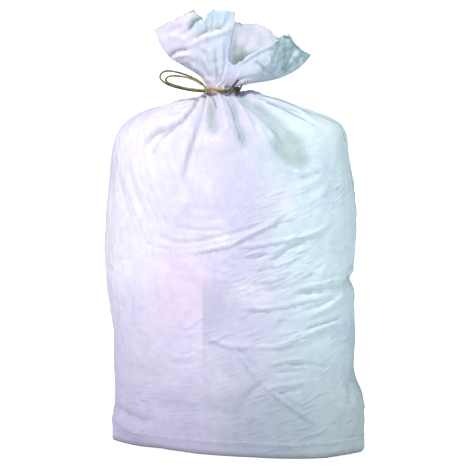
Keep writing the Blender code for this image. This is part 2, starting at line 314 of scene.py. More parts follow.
twineTints = {
    "shade": (0.050, 0.045, 0.010),
    "golden": (0.440, 0.370, 0.090),
    "green": (0.130, 0.150, 0.050),
    "fibre": (0.560, 0.500, 0.290),
    "knot": (0.640, 0.470, 0.300),
    "rightTurns": (0.060, 0.042, 0.028),
    "leftEnd": (0.030, 0.026, 0.024),
    "rightEnd": (0.520, 0.440, 0.330),
    "loopTips": (0.050, 0.052, 0.030),
}


def twineMaterial():
    made, start, where, shader = newMaterial("goldenTwine", {"Roughness": 0.8, "Sheen Weight": 0.35})
    tints = twineTints
    x, z = where.part(0), where.part(2)
    fibre = where.noise(900.0, 2.0)
    tone = where.noise(45.0, 2.0).rising(0.38, 0.66).blend(tints["shade"], tints["golden"])
    tone = where.noise(70.0, 1.0).rising(0.50, 0.72).blend(tone, tints["green"])
    tone = fibre.rising(0.55, 0.80).blend(tone, tints["fibre"])
    tone = (abs(x + 0.034).below(0.017, 0.014) * 0.75).blend(tone, tints["knot"])
    tone = (x.rising(-0.008, 0.006) * 0.88).blend(tone, tints["rightTurns"])
    tone = ((x + 0.008).rising(0.0, 0.004) * z.rising(0.567, 0.570) * 0.9).blend(tone, tints["leftEnd"])
    tone = (x.rising(0.0075, 0.0105) * z.rising(0.569, 0.573) * 0.8).blend(tone, tints["rightEnd"])
    tone = (x.below(-0.098, 0.010) * 0.55).blend(tone, tints["loopTips"])
    tone.feed(shader, "Base Color")
    start.node("Bump", inputs={"Strength": 0.5, "Distance": 0.0004, "Height": fibre}).feed(shader, "Normal")
    return made


def makeTwine():
    path = twinePath()
    material = twineMaterial()
    bm = bmesh.new()
    strandRadius, offset = (twine["diameter"] * twine[key] for key in ("strandRadius", "strandOffset"))
    frames = pathFrames(path)
    along = 0.0
    strands = [[] for _ in range(twine["strands"])]
    for k, (place, side, up) in enumerate(frames):
        along += (path[k] - path[k - 1]).length if k else 0.0
        for s, strand in enumerate(strands):
            turn = 2 * math.pi * (along / twine["twist"] + s / twine["strands"])
            strand.append(place + offset * (side * math.cos(turn) + up * math.sin(turn)))
    for strand in strands:
        tubeInto(bm, strand, strandRadius, sides=7)
    draw = random.Random(5)
    for _ in range(twine["hairs"]):
        place, side, up = frames[draw.randrange(4, len(frames) - 4)]
        ahead = side.cross(up)
        turn = draw.uniform(0, 2 * math.pi)
        out = side * math.cos(turn) + up * math.sin(turn)
        reach = draw.uniform(*twine["hairReach"])
        root = place + out * twine["diameter"] * 0.40
        tip = root + out * reach + ahead * draw.uniform(-0.003, 0.003)
        bend = root.lerp(tip, 0.5) + out * reach * 0.3
        tubeInto(bm, [root, bend, tip], twine["hairRadius"], sides=3, taper=0.6)
    tie = link("neckTwine", finishMesh("neckTwine", bm), material)
    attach(tie, "root")
    knotTurn = makeKnot(material)
    length = sum((b - a).length for a, b in zip(path, path[1:]))
    print("twine", round(length, 3), "m")
    return tie, knotTurn


knot = {
    "at": (-0.0240, -0.0215, 0.0020),  # from the middle of the neck
    "high": 0.0042,
    "deep": 0.0034,
    "lean": 0.3,
    "start": 0.6,
    "turns": 1.6,
    "rise": 0.0048,
    "steps": 40,
    "twistSteps": 9,
    "strandRadius": 0.285,  # strands, as shares of the twine's diameter
    "strandOffset": 0.235,
}


def makeKnot(material):
    # the short turn of twine that binds the loops where they leave the neck
    middle = Vector(twine["neckMiddle"]) + Vector(knot["at"])
    lean = Matrix.Rotation(knot["lean"], 3, "Y") @ Matrix.Rotation(math.radians(90), 3, "Y")
    path = []
    for i in range(knot["steps"] + 1):
        turn = 2 * math.pi * knot["turns"] * i / knot["steps"] + knot["start"]
        rise = knot["rise"] * (i / knot["steps"] - 0.5)
        spot = Vector((knot["high"] * math.cos(turn), knot["deep"] * math.sin(turn), rise))
        path.append(middle + lean @ spot)
    radius, offset = (twine["diameter"] * knot[key] for key in ("strandRadius", "strandOffset"))
    frames = pathFrames(path)
    bm = bmesh.new()
    for s in range(twine["strands"]):
        strand = []
        for k, (place, side, up) in enumerate(frames):
            turn = 2 * math.pi * (k / knot["twistSteps"] + s / twine["strands"])
            strand.append(place + offset * (side * math.cos(turn) + up * math.sin(turn)))
        tubeInto(bm, strand, radius, sides=7)
    made = link("neckKnot", finishMesh("neckKnot", bm), material)
    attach(made, "root")
    return made


tie, knotTurn = makeTwine()
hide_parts("neck_tie")
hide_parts("neck_tie")


# the sack's form, as the cement fills it out
form = {
    "width": 0.391, "depth": 0.236, "roundness": 2.25, "turn": math.radians(-8),
    "shoulderHeight": 0.461, "shoulderWidth": 0.369, "shoulderDepth": 0.222, "shoulderLean": 0.003,
    "footDepth": 0.180, "footBack": 0.25, "footSkew": 0.55, "cornerReach": 0.170,
    "cornerBlunt": 0.15, "cornerPoint": 0.75, "hemHeight": 0.030,
    "neckHeight": 0.562, "neckLength": 0.014, "neckWidth": 0.046, "neckDepth": 0.038, "neckShift": -0.020,
    "ruffleSpread": 0.80, "ruffleBend": 0.21, "ruffleSwing": 0.11, "lobeRise": 0.0075,
}
bodyStations = (  # share of the height from hem to shoulder, narrower on each side, shift to the right
    (0.00, -0.0040, 0.003), (0.12, -0.0015, 0.006), (0.21, 0.0065, -0.002), (0.33, 0.0060, -0.001),
    (0.44, 0.0030, -0.005), (0.56, 0.0020, -0.009), (0.68, 0.0000, -0.007), (0.80, 0.0010, -0.006),
    (0.91, 0.0060, -0.008),
)
shoulderStations = (  # share of the rise, share of the way in, shift
    (0.00, 0.00, -0.008), (0.25, 0.03, -0.007), (0.44, 0.08, -0.006), (0.58, 0.17, -0.007),
    (0.69, 0.31, -0.008), (0.77, 0.48, -0.010), (0.90, 0.66, -0.010), (0.96, 0.86, -0.015),
    (1.00, 1.00, -0.020),
)
rimBack = (  # right, back and up from the middle of the neck: from the right tip round the back
    (0.137, 0.000, 0.054), (0.119, 0.008, 0.064), (0.1035, 0.012, 0.084), (0.088, 0.020, 0.0785),
    (0.079, 0.028, 0.085), (0.0665, 0.036, 0.095), (0.051, 0.042, 0.0985), (0.034, 0.044, 0.098),
    (0.020, 0.040, 0.102), (0.003, 0.034, 0.1045), (-0.0155, 0.030, 0.105), (-0.028, 0.026, 0.099),
    (-0.045, 0.026, 0.110), (-0.065, 0.022, 0.104), (-0.085, 0.014, 0.095),
)
rimFront = (  # from the left tip round the front
    (-0.103, 0.000, 0.0925), (-0.0845, -0.012, 0.1035), (-0.064, -0.020, 0.1147), (-0.0457, -0.026, 0.1242),
    (-0.0365, -0.029, 0.1177), (-0.0275, -0.031, 0.1090), (-0.0205, -0.030, 0.1208),
    (-0.0121, -0.029, 0.1252), (0.003, -0.027, 0.1235), (0.0185, -0.024, 0.1210),
    (0.0190, -0.027, 0.1060), (0.0125, -0.033, 0.079),
    (0.009, -0.037, 0.0545), (0.0155, -0.034, 0.0425), (0.0265, -0.034, 0.0450), (0.037, -0.037, 0.0533),
    (0.055, -0.042, 0.0645), (0.0735, -0.042, 0.0698), (0.084, -0.038, 0.0779), (0.0935, -0.030, 0.0855),
    (0.1045, -0.022, 0.0805), (0.1185, -0.014, 0.0636),
)
hemLift = (  # place across the bag, lift
    (-0.160, 0.0), (-0.145, 0.0015), (-0.130, 0.0030), (-0.115, 0.0045), (-0.100, 0.0034), (-0.080, 0.0030),
    (-0.060, 0.0016), (0.030, 0.0014), (0.050, 0.0), (0.135, 0.0), (0.150, 0.0016), (0.165, 0.0032),
    (0.185, 0.0028), (0.197, 0.0),
)
cloth = {
    "columns": 236,
    "frontShare": 0.45,  # how much closer the columns stand on the front
    "underRows": 4,
    "bodyRows": 124,
    "shoulderRows": 30,
    "neckRows": 3,
    "ruffleRows": 40,
    "thickness": 0.0007,
    "flat": (1.00, 0.85),
    "samples": 240,  # places up the body's outline, and how often they are smoothed
    "smoothing": 26,
    "underGrowth": 0.8,  # below 1, the rows stand closer to the edge, above 1 closer to the neck
    "ruffleGrowth": 1.15,
    "rimWaves": ((0.0009, 37, 0), (0.0007, 61, 1)),  # the uneven cut edge: height, count, start
    "hemProud": 0.0013,
    "hemTop": 0.0285,
    "hemContactShadow": (1.0, 1.0, 0.9, 0.45),  # painted contact shadow: how dark the lowest rows of the hem are
    "footRound": (0.0025, 0.004),  # how far the lowest edge is rounded, inwards and upwards
    "footAngles": (0, 30, 60, 90),
    "footHeights": (0.0120, 0.0180, 0.0240, 0.0275, 0.0288),
    "underEnds": 0.030,  # from each side to the ends of the underside's fold
    "underLift": 0.0006,
    "floorGap": 0.0004,
    "relief": 1.25,
    "limits": (-0.013, 0.0080),  # deepest valley and highest swelling
    "neckLimit": (0.0022, 0.25, 0.025, 0.05),  # deepest valley there, its growth, from where and how far
    "lumps": ((0.0035, (13, 13, 9), 2, 1), (0.0012, (42, 42, 26), 5, 2)),  # height, scale, seed, octaves
    "hollowFrom": 0.0008,  # a valley this deep begins to take painted shade
    "hollowDepth": 0.0065,
    "girthRow": 40,  # the body's row that is as long as the flat cloth is wide
}
swells = (  # place, reach and height: on the right shoulder and beside the neck
    ((0.160, -0.010, 0.498), (0.026, 0.060, 0.022), 0.0055),
    ((0.023, 0.0, 0.555), (0.018, 0.030, 0.020), 0.0055),
)
nick = {"height": 0.268, "half": 0.007, "depth": 0.0048}  # the small dent in the right side


def smoothStep(value, low, high):
    t = np.clip((value - low) / (high - low), 0.0, 1.0)
    return t * t * (3 - 2 * t)


def signedPower(value, exponent):
    return np.sign(value) * np.abs(value) ** exponent


def outline(turn, height, halfWidth, halfDepth, shift, tilt=0.0):
    foot = max(0.0, 1 - height / form["cornerReach"]) ** 2 * np.where(np.sin(turn) < 0, 1.0, form["footBack"])
    ends = 2 / (form["roundness"] + form["cornerBlunt"] * foot)
    faces = 2 / (form["roundness"] - form["cornerPoint"] * foot)
    x = halfWidth * signedPower(np.cos(turn), ends)
    y = (halfDepth + foot * (form["footDepth"] - form["depth"]) / 2) * signedPower(np.sin(turn), faces)
    x = x - form["footSkew"] * foot * y
    cos, sin = math.cos(form["turn"]), math.sin(form["turn"])
    z = np.full(len(turn), height) + tilt * np.cos(turn)
    return np.stack([shift + x * cos - y * sin, x * sin + y * cos, z], 1)


def smoothedRows(table, rounds):
    for _ in range(rounds):
        table[1:-1] = 0.25 * table[:-2] + 0.5 * table[1:-1] + 0.25 * table[2:]
    return table


def bodyTable():
    # height, half width, half depth, shift, lean: from the hem up to the underside of the neck
    bottom, top = form["hemHeight"], form["neckHeight"] - form["neckLength"] / 2
    keys = [
        (bottom + s * (form["shoulderHeight"] - bottom), form["width"] / 2 - n, form["depth"] / 2, shift, 0.0)
        for s, n, shift in bodyStations
    ]
    for rise, inward, shift in shoulderStations:
        keys.append((
            form["shoulderHeight"] + rise * (top - form["shoulderHeight"]),
            (form["shoulderWidth"] + inward * (form["neckWidth"] - form["shoulderWidth"])) / 2,
            (form["shoulderDepth"] + inward * (form["neckDepth"] - form["shoulderDepth"])) / 2,
            shift,
            form["shoulderLean"] * inward,
        ))
    keys = np.array(keys)
    keys[-1, 4] = 0.0
    gone = np.concatenate([[0], np.cumsum(np.hypot(np.diff(keys[:, 0]), np.diff(keys[:, 1])))])
    even = np.linspace(0, gone[-1], cloth["samples"])
    table = np.stack([np.interp(even, gone, keys[:, k]) for k in range(5)], 1)
    table = smoothedRows(table, cloth["smoothing"])
    shoulder = gone[len(bodyStations)]
    # the rows stand closer in the middle of the body
    spread = np.interp(even, (0, 0.06, 0.09, 0.34, 0.37, shoulder), (0.8, 0.8, 1.35, 1.35, 0.8, 0.8))
    spread = np.cumsum(spread * (even < shoulder))
    lower = np.interp(np.arange(cloth["bodyRows"]) / cloth["bodyRows"], spread / spread[-1], even)
    places = np.concatenate([lower, np.linspace(shoulder, gone[-1], cloth["shoulderRows"])])
    return np.stack([np.interp(places, even, table[:, k]) for k in range(5)], 1)


def rimCurve(turn):
    points = np.array((*rimBack, *rimFront))
    count = len(points)
    back = np.linspace(0, math.pi, len(rimBack), endpoint=False)
    front = np.linspace(math.pi, 2 * math.pi, len(rimFront) + 1)
    along = np.interp(turn, np.concatenate([back, front]), np.arange(count + 1))
    i = np.floor(along).astype(int) % count
    a, b, c, d = (points[(i + k) % count] for k in (-1, 0, 1, 2))
    middle = np.array((form["neckShift"], 0.0, form["neckHeight"]))
    return splinePoint(a, b, c, d, (along - np.floor(along))[:, None]) + middle


def sackRows():
    # every level of the cloth, from the middle of the underside up to the rim, and what kind it is
    turn = np.linspace(0, 2 * math.pi, 2000)
    spread = (turn + cloth["frontShare"] * (np.cos(turn) - 1)) / (2 * math.pi)
    turn = np.interp(np.linspace(0, 1, cloth["columns"] + 1), spread, turn)
    _, narrower, shift = bodyStations[0]
    half, deep = form["width"] / 2 - narrower, form["depth"] / 2
    rows, kinds = [], []
    inwards, upwards = cloth["footRound"]
    edge = outline(turn, 0.0, half - inwards, deep - inwards, shift)
    spine = outline(np.where(np.cos(turn) < 0, math.pi, 0.0), 0.0, 1.0, 0.0, 0.0)
    reach = np.abs(np.cos(turn)) * (half - cloth["underEnds"])
    spine = spine * reach[:, None] + np.array((shift, 0.0, 0.0))
    for k in range(cloth["underRows"]):
        share = (k / cloth["underRows"]) ** cloth["underGrowth"]
        rows.append(spine + (edge - spine) * share)
        kinds.append("under")
    for angle in cloth["footAngles"]:
        out = inwards * (1 - math.sin(math.radians(angle)))
        height = upwards * (1 - math.cos(math.radians(angle)))
        rows.append(outline(turn, height, half - out, deep - out, shift))
        kinds.append("foot")
    for height in cloth["footHeights"]:
        rows.append(outline(turn, height, half, deep, shift))
        kinds.append("foot")
    for height, halfWidth, halfDepth, away, tilt in bodyTable():
        rows.append(outline(turn, height, halfWidth, halfDepth, away, tilt))
        kinds.append("body")
    half, deep = form["neckWidth"] / 2, form["neckDepth"] / 2
    for k in range(1, cloth["neckRows"] + 1):
        height = form["neckHeight"] + form["neckLength"] * (k / cloth["neckRows"] - 0.5)
        rows.append(outline(turn, height, half, deep, form["neckShift"]))
        kinds.append("neck")
    # the hem's lower edge leaves the floor on the front, and the underside follows it
    lift = np.interp(edge[:, 0], *np.transpose(hemLift)) * smoothStep(-np.sin(turn), 0.05, 0.35)
    whole = np.linalg.norm(edge - spine, axis=1)
    for row, kind in zip(rows, kinds):
        if kind == "under":
            row[:, 2] += lift * np.clip(np.linalg.norm(row - spine, axis=1) / whole, 0, 1)
        elif kind == "foot":
            row[:, 2] += lift * (1 - row[:, 2] / form["hemHeight"])
    start, end = rows[-1], rimCurve(turn)
    end[:, 2] += sum(height * np.sin(count * turn + begin) for height, count, begin in cloth["rimWaves"])
    bend = start + (end - start) * form["ruffleSpread"]
    bend[:, 2] = start[:, 2] + (end - start)[:, 2] * (form["ruffleBend"] - form["ruffleSwing"] * np.cos(turn))
    for k in range(1, cloth["ruffleRows"] + 1):
        s = (k / cloth["ruffleRows"]) ** cloth["ruffleGrowth"]
        row = (1 - s) ** 2 * start + 2 * s * (1 - s) * bend + s**2 * end
        rise = smoothStep(s, 0.0, 0.10) * (1 - smoothStep(s, 0.15, 0.60))
        row[:, 2] += form["lobeRise"] * rise * smoothStep(-np.cos(turn), 0.30, 0.90)
        rows.append(row)
        kinds.append("ruffle")
    return turn, np.array(rows), np.array(kinds)


def gridNormals(rows):
    across = np.roll(rows[:, :-1], -1, 1) - np.roll(rows[:, :-1], 1, 1)
    up = np.empty_like(rows[:, :-1])
    up[1:-1] = rows[2:, :-1] - rows[:-2, :-1]
    up[0], up[-1] = rows[1, :-1] - rows[0, :-1], rows[-1, :-1] - rows[-2, :-1]
    normal = np.cross(across, up)
    normal /= np.maximum(np.linalg.norm(normal, axis=2, keepdims=True), 1e-12)
    return np.concatenate([normal, normal[:, :1]], 1)


# folds, each as height in mm (below zero for a valley), half width in pixels, which side is steep
# (1 below or to its right, -1 the other, 0 neither), whether it springs from the neck, and its points
# in the photograph's frame
frontFolds = (
    (-8.0, 3.6, 0.6, True, (201, 93), (192, 108), (180, 121), (166, 127.5), (152, 134), (142, 148),
     (139, 158)),
    (-6.0, 2.4, 0.0, False, (178, 124), (160, 138), (157, 146), (150, 160)),
    (2.5, 4.5, 0.0, True, (200, 92), (184, 100), (160, 111), (140, 124)),
    (3.0, 4.5, 0.0, True, (203, 94), (196, 112), (182, 132), (170, 150)),
    (-6.0, 3.2, 0.0, True, (206, 94), (202, 110), (195, 133), (192, 143), (188, 156), (184, 174), (181, 206)),
    (3.0, 2.2, 0.0, True, (208, 94), (206, 112), (201, 134), (197, 150), (192, 172)),
    (-9.0, 5.4, 0.0, True, (213, 92), (211.5, 106), (212.5, 120), (213.5, 130), (214.5, 141)),
    (3.6, 4.2, 0.0, True, (219, 94), (223, 110), (226, 125), (228, 150)),
    (-10.5, 5.2, -0.75, True, (228, 94), (234, 108), (239, 126), (245, 146), (249, 160)),
    (4.2, 3.2, 0.0, True, (231, 94), (243, 112), (252, 130), (259, 148), (265, 166)),
    (-10.0, 6.5, 0.0, True, (236, 94), (252, 104), (268, 116), (281, 130), (290, 146), (294, 164)),
    (-6.5, 12.0, 0.0, True, (240, 97), (262, 110), (282, 124), (296, 142), (302, 162), (304, 182)),
    (-5.0, 7.0, 0.0, False, (268, 136), (280, 152), (292, 162), (304, 162), (314, 156)),
    (3.0, 4.0, 0.0, True, (244, 94), (268, 105), (296, 118), (326, 132)),
    (-6.0, 1.8, 0.0, False, (248, 95), (262, 99), (276, 104), (292, 112), (307, 120), (320, 128)),
    (-3.4, 1.5, 0.0, False, (252, 93), (266, 96), (292, 105), (316, 116)),
    (3.0, 1.6, 0.0, True, (248, 93), (270, 99), (294, 109), (312, 119)),
    (5.0, 2.2, -0.3, False, (258, 124), (266, 140), (275, 157), (286, 169), (300, 173.5), (314, 170),
     (328, 164)),
    (-2.6, 1.6, 0.0, False, (156, 240), (183, 242.5), (198, 241.5), (221, 236), (235, 233), (262, 224)),
    (3.8, 1.6, 0.8, False, (184, 255), (215.5, 248), (232, 245), (248, 236), (271, 224.8), (293, 212)),
    (3.4, 1.6, 0.8, False, (230, 249), (256, 245.5), (276.7, 242), (305.4, 237), (320, 230), (336, 220)),
    (-3.2, 3.0, 0.0, False, (306, 241), (290, 248), (280, 256), (268, 265)),
    (-2.5, 1.7, 0.0, False, (245, 260), (258, 257.5), (270, 253)),
    (-2.2, 2.0, 0.0, False, (246, 275), (262, 270), (279, 266)),
    (2.2, 2.0, 0.6, False, (252, 283), (270, 281), (290, 274)),
    (-2.0, 1.8, 0.0, False, (262, 292), (276, 291), (290, 287)),
    (3.4, 1.6, 0.6, False, (288, 293), (312, 286), (332, 282), (350, 278)),
    (-2.6, 1.6, 0.0, False, (292, 291), (312, 290), (334, 286), (350, 284)),
    (3.4, 1.5, 0.8, False, (238, 309.5), (261, 309), (283, 307), (300, 302), (316, 298.5), (330, 296)),
    (-2.6, 1.6, 0.0, False, (290, 296), (306, 294), (322, 292), (342, 289)),
    (3.0, 1.6, 0.7, False, (306, 318), (322, 311), (334, 303), (348, 290)),
    (-2.4, 1.6, 0.0, False, (300, 312), (318, 306), (336, 297)),
    (4.0, 1.4, 0.8, False, (300, 338), (317, 330), (330, 325), (345, 320)),
    (-3.0, 1.5, 0.0, False, (298, 333), (314, 326), (332, 321), (345, 315)),
    (2.4, 1.6, 0.6, False, (262, 350), (280, 347), (300, 342), (318, 338)),
    (-2.0, 1.6, 0.0, False, (256, 345), (280, 343), (302, 337)),
    (2.8, 2.4, 0.6, False, (252, 348), (279.5, 345), (302, 337)),
    (3.0, 2.6, 0.7, False, (204, 338), (225, 345.5), (239.5, 348), (256, 347)),
    (-1.8, 3.0, 0.6, False, (215, 258), (214, 290), (213, 315), (211, 342)),
    (-2.4, 2.0, 0.0, False, (285, 365), (308, 364), (331, 368)),
    (2.8, 1.6, 0.5, False, (266, 388), (288, 385), (308, 382)),
    (-2.6, 1.5, 0.0, False, (272, 374), (288, 371), (304, 371)),
    (-2.6, 1.5, 0.0, False, (274, 395), (288, 392), (304, 388)),
    (2.6, 1.5, 0.5, False, (266, 366), (284, 361), (306, 359)),
    (-1.8, 1.6, 0.6, False, (343, 140), (349, 170), (352, 210), (352, 250)),
    (-3.0, 1.6, 0.6, False, (350, 290), (351, 320), (350, 352)),
    (-3.0, 3.8, 0.0, False, (272, 376), (254, 391), (244, 402), (228, 426)),
    (4.2, 1.7, 0.6, False, (262, 384), (281, 400), (293, 408.5), (318, 426)),
    (-1.4, 1.6, 0.0, False, (276, 390), (290, 401), (308, 412)),
    (2.8, 1.6, 0.4, False, (228, 344), (240, 358), (251, 372), (262, 386)),
    (-1.8, 1.8, 0.0, False, (234, 344), (246, 358), (258, 372)),
    (1.6, 1.6, 0.0, False, (164, 350), (176, 358), (190, 358), (200, 350)),
    (-1.3, 1.6, 0.0, False, (160, 356), (174, 364), (190, 364), (204, 356)),
    (-4.2, 4.5, 0.0, False, (108, 402), (126, 414), (140, 420), (162, 422)),
    (3.6, 4.5, 0.0, False, (110, 414), (127, 426), (147, 434)),
    (-3.0, 3.0, 0.0, False, (158, 236), (163, 238), (168, 240)),
    (-1.8, 2.0, 0.0, False, (142, 241), (157, 248), (174, 250)),
    (-1.3, 2.0, 0.0, False, (188, 207), (204, 210), (220, 208)),
    (-1.4, 1.5, 0.0, False, (206, 221), (219, 219), (228, 220)),
    (2.0, 2.6, 0.0, False, (290, 192), (311, 183.5), (326, 176)),
    (2.0, 2.4, 0.0, False, (304, 206), (318, 197), (330, 187)),
    (-7.0, 2.6, 0.0, False, (366, 270), (358, 274), (350, 278), (342, 285)),
    (-3.0, 2.0, 0.0, False, (356, 262), (350, 268), (346, 276)),
    (2.4, 1.8, 0.0, False, (362, 283), (354, 288), (348, 296)),
    (-2.5, 9.0, 0.0, False, (122, 366), (148, 377), (178, 374)),
    (-2.5, 9.0, 0.0, False, (140, 404), (200, 411), (244, 412)),
    (2.4, 1.5, 0.0, False, (122, 168), (134, 204), (147, 240)),
    (2.2, 1.5, 0.0, False, (131, 158), (144, 194), (158, 232)),
    (-2.6, 1.4, 0.0, False, (126, 160), (138, 196), (152, 234)),
    (-2.6, 1.4, 0.0, False, (136, 164), (149, 200), (163, 236)),
    (-2.2, 1.4, 0.0, False, (117, 170), (127, 208), (140, 244)),
    (-2.2, 1.4, 0.0, False, (146, 176), (156, 202), (168, 230)),
    (-2.0, 1.4, 0.0, False, (188, 180), (191, 200), (186, 224)),
    (-2.0, 1.4, 0.0, False, (204, 178), (201, 196), (194, 212)),
    (-2.2, 1.4, 0.0, False, (172, 226), (196, 230), (230, 231)),
    (-2.4, 2.0, 0.0, False, (116, 146), (112, 180), (112, 220)),
    (-2.0, 3.0, 0.0, False, (352, 360), (349, 385), (352, 410)),
)
ruffleFolds = (
    (2.4, 4.0, 0.4, False, (180, 48), (196, 42), (210, 36), (224, 31), (238, 27)),
    (-4.4, 1.6, 0.0, False, (182, 45), (187, 42), (196, 38), (204, 33), (216, 29), (231, 26)),
    (-6.0, 2.0, 0.0, False, (188, 33), (190, 28), (193, 23), (199, 19), (206, 18)),
    (3.0, 2.6, 0.0, False, (184, 33), (186, 24), (191, 16), (196, 13)),
    (-1.8, 1.8, 0.0, False, (161, 35), (172, 30), (185, 25), (194, 24)),
    (2.0, 3.0, 0.0, False, (168, 34), (180, 38), (189, 41)),
    (-4.6, 1.8, 0.0, False, (166, 60), (169, 57), (175, 52), (180, 50.5), (190, 50)),
    (2.6, 2.0, 0.0, False, (172, 60), (178, 56), (186, 54.5), (194, 55)),
    (-2.2, 1.8, 0.0, False, (178, 66), (186, 64), (194, 66)),
    (2.2, 2.6, 0.0, False, (221, 36), (222, 52), (222, 66), (220, 82)),
    (-2.6, 1.8, 0.0, False, (215, 46), (216, 56), (217, 68), (218, 84)),
    (2.5, 1.8, 0.5, False, (238, 66), (246, 60), (258, 52), (272, 45), (281, 38)),
    (-3.2, 1.6, 0.0, False, (254, 60), (258, 64), (266, 71), (276, 75)),
    (3.2, 1.8, 0.5, False, (286, 34), (280, 42), (273, 52), (268, 62), (262, 68)),
    (-4.0, 4.0, 0.0, False, (298, 44), (291, 54), (285, 63), (282, 76)),
    (-3.0, 1.6, 0.0, False, (279, 42), (275, 50), (271, 58), (272, 66)),
    (2.6, 1.8, 0.0, False, (284, 40), (286, 50), (281, 58), (284, 68)),
    (-2.6, 1.6, 0.0, False, (291, 46), (285, 50), (280, 49)),
    (-2.4, 1.6, 0.0, False, (303, 50), (297, 58), (294, 70)),
    (2.4, 1.6, 0.0, False, (299, 50), (296, 57), (288, 66), (290, 74)),
    (-2.2, 1.8, 0.0, False, (292, 72), (284, 70), (276, 73)),
    (-1.8, 1.8, 0.0, False, (186, 72), (198, 78), (210, 88)),
    (2.0, 2.0, 0.0, False, (184, 60), (200, 70), (212, 84)),
    (-1.8, 2.0, 0.0, False, (236, 82), (250, 77), (276, 76)),
    (-1.6, 1.5, 0.0, False, (196, 48), (206, 56), (211, 70)),
    (1.6, 1.5, 0.0, False, (201, 44), (209, 52), (214, 64)),
    (-1.8, 1.4, 0.0, False, (212, 14), (214, 22), (211, 29)),
    (1.8, 1.6, 0.0, False, (222, 13), (224, 20), (219, 27)),
    (-1.4, 1.4, 0.0, False, (229, 14), (228, 22)),
)
mouthFolds = (
    (-2.5, 2.4, 0.0, False, (238, 22), (238, 38), (236, 56)),
    (-1.8, 2.0, 0.0, False, (249, 26), (250, 38), (246, 52)),
    (1.6, 2.6, 0.0, False, (258, 27), (262, 36), (259, 46)),
)


foldShape = {
    "reach": 4,  # half widths past which a fold isn't felt
    "fromNeck": (0.45, 0.9),  # a fold that springs from the neck widens as it goes
    "steepSide": 0.6,
    "easySide": 0.3,
    "crest": (1.2, 1.5),  # height and how blunt it is
    "banks": (0.2, 2.6),  # the counter swelling beside it, and how far that spreads
    "ends": 0.22,  # share of the length over which it fades out
    "endFromNeck": 0.35,
}


def foldDepth(px, py, fold):
    # how far one fold moves each point, in metres along its normal
    height, width, steep, fromNeck, *points = fold
    points = np.array(points, float)
    reach = foldShape["reach"] * width
    low, high = points.min(0) - reach, points.max(0) + reach
    near = (px > low[0]) & (px < high[0]) & (py > low[1]) & (py < high[1])
    x, y = px[near], py[near]
    best = np.full(len(x), 1e9)
    along, side = np.zeros(len(x)), np.ones(len(x))
    steps = np.linalg.norm(np.diff(points, axis=0), axis=1)
    gone = np.concatenate([[0], np.cumsum(steps)]) / steps.sum()
    for k, ((ax, ay), (bx, by)) in enumerate(zip(points, points[1:])):
        dx, dy = bx - ax, by - ay
        t = np.clip(((x - ax) * dx + (y - ay) * dy) / (dx * dx + dy * dy), 0, 1)
        away = np.hypot(x - ax - t * dx, y - ay - t * dy)
        closer = away < best
        best = np.where(closer, away, best)
        along = np.where(closer, gone[k] + t * (gone[k + 1] - gone[k]), along)
        side = np.where(closer, np.sign(dx * (y - ay) - dy * (x - ax)), side)
    narrow, growth = foldShape["fromNeck"]
    wide = width * (narrow + growth * along) if fromNeck else width * np.ones(len(x))
    steepSide, easySide = 1 - foldShape["steepSide"] * abs(steep), 1 + foldShape["easySide"] * abs(steep)
    wide = wide * np.where(side * steep > 0, steepSide, easySide)
    (crest, blunt), (bank, spread) = foldShape["crest"], foldShape["banks"]
    shape = crest * np.exp(-((best / wide) ** blunt)) - bank * np.exp(-((best / (spread * wide)) ** 2))
    fade = smoothStep(1 - along, 0.0, foldShape["endFromNeck" if fromNeck else "ends"])
    if not fromNeck:
        fade = fade * smoothStep(along, 0.0, foldShape["ends"])
    moved = np.zeros(px.shape)
    moved[near] = 0.001 * cloth["relief"] * height * shape * fade
    return moved


creases = {
    # for each part of the cloth: seed, count, the box they lie in, their lean in degrees, heights in mm
    "front": (
        (3, 34, (128, 168, 205, 238), 84, (0.6, 1.2)),
        (8, 40, (235, 245, 345, 345), -18, (0.6, 1.4)),
        (9, 34, (125, 250, 240, 400), 20, (0.5, 1.0)),
    ),
    "back": ((17, 60, (130, 180, 340, 400), 30, (0.5, 1.2)),),
    "right": ((41, 26, (175, 175, 295, 410), -22, (0.6, 1.8)),),
    "left": ((43, 26, (175, 175, 295, 410), 22, (0.6, 1.8)),),
    "mouth": ((52, 24, (162, 18, 230, 80), -30, (0.4, 1.0)), (57, 16, (268, 38, 306, 74), 60, (0.6, 1.5))),
    "length": (12, 30),
    "halfWidth": (1.3, 2.2),
    "unevenLean": 14,
    "bow": 1.5,
    "sideWidth": 1.6,  # wider by this on the sides
    "sideScale": (0.00156, 0.00158),  # metres for each pixel, across and up
    "sideFloor": 444,
    "backShare": 0.8,  # the front's folds come again on the back, lower, wider and further down
    "backWidth": 2.8,
    "backDrop": 14,
}


def crinkleFolds(part):
    # short fine creases strewn over one part of the cloth
    folds = []
    for seed, count, box, lean, heights in creases[part]:
        draw = random.Random(seed)
        for _ in range(count):
            x, y = draw.uniform(box[0], box[2]), draw.uniform(box[1], box[3])
            length = draw.uniform(*creases["length"])
            tilt = math.radians(lean + draw.gauss(0, creases["unevenLean"]))
            dx, dy = length / 2 * math.cos(tilt), length / 2 * math.sin(tilt)
            bow = draw.uniform(-creases["bow"], creases["bow"])
            height = draw.choice((-1, 1)) * draw.uniform(*heights)
            points = (x - dx, y - dy), (x + bow, y), (x + dx, y + dy)
            folds.append((height, draw.uniform(*creases["halfWidth"]), 0.0, False, *points))
    return folds


def allFolds(places, folds):
    # how far all of them together move each point
    return sum(foldDepth(*places, fold) for fold in folds)


def swell(rows, place, reach, height):
    away = np.linalg.norm((rows - np.array(place)) / np.array(reach), axis=2)
    return height * np.exp(-(away ** 2))


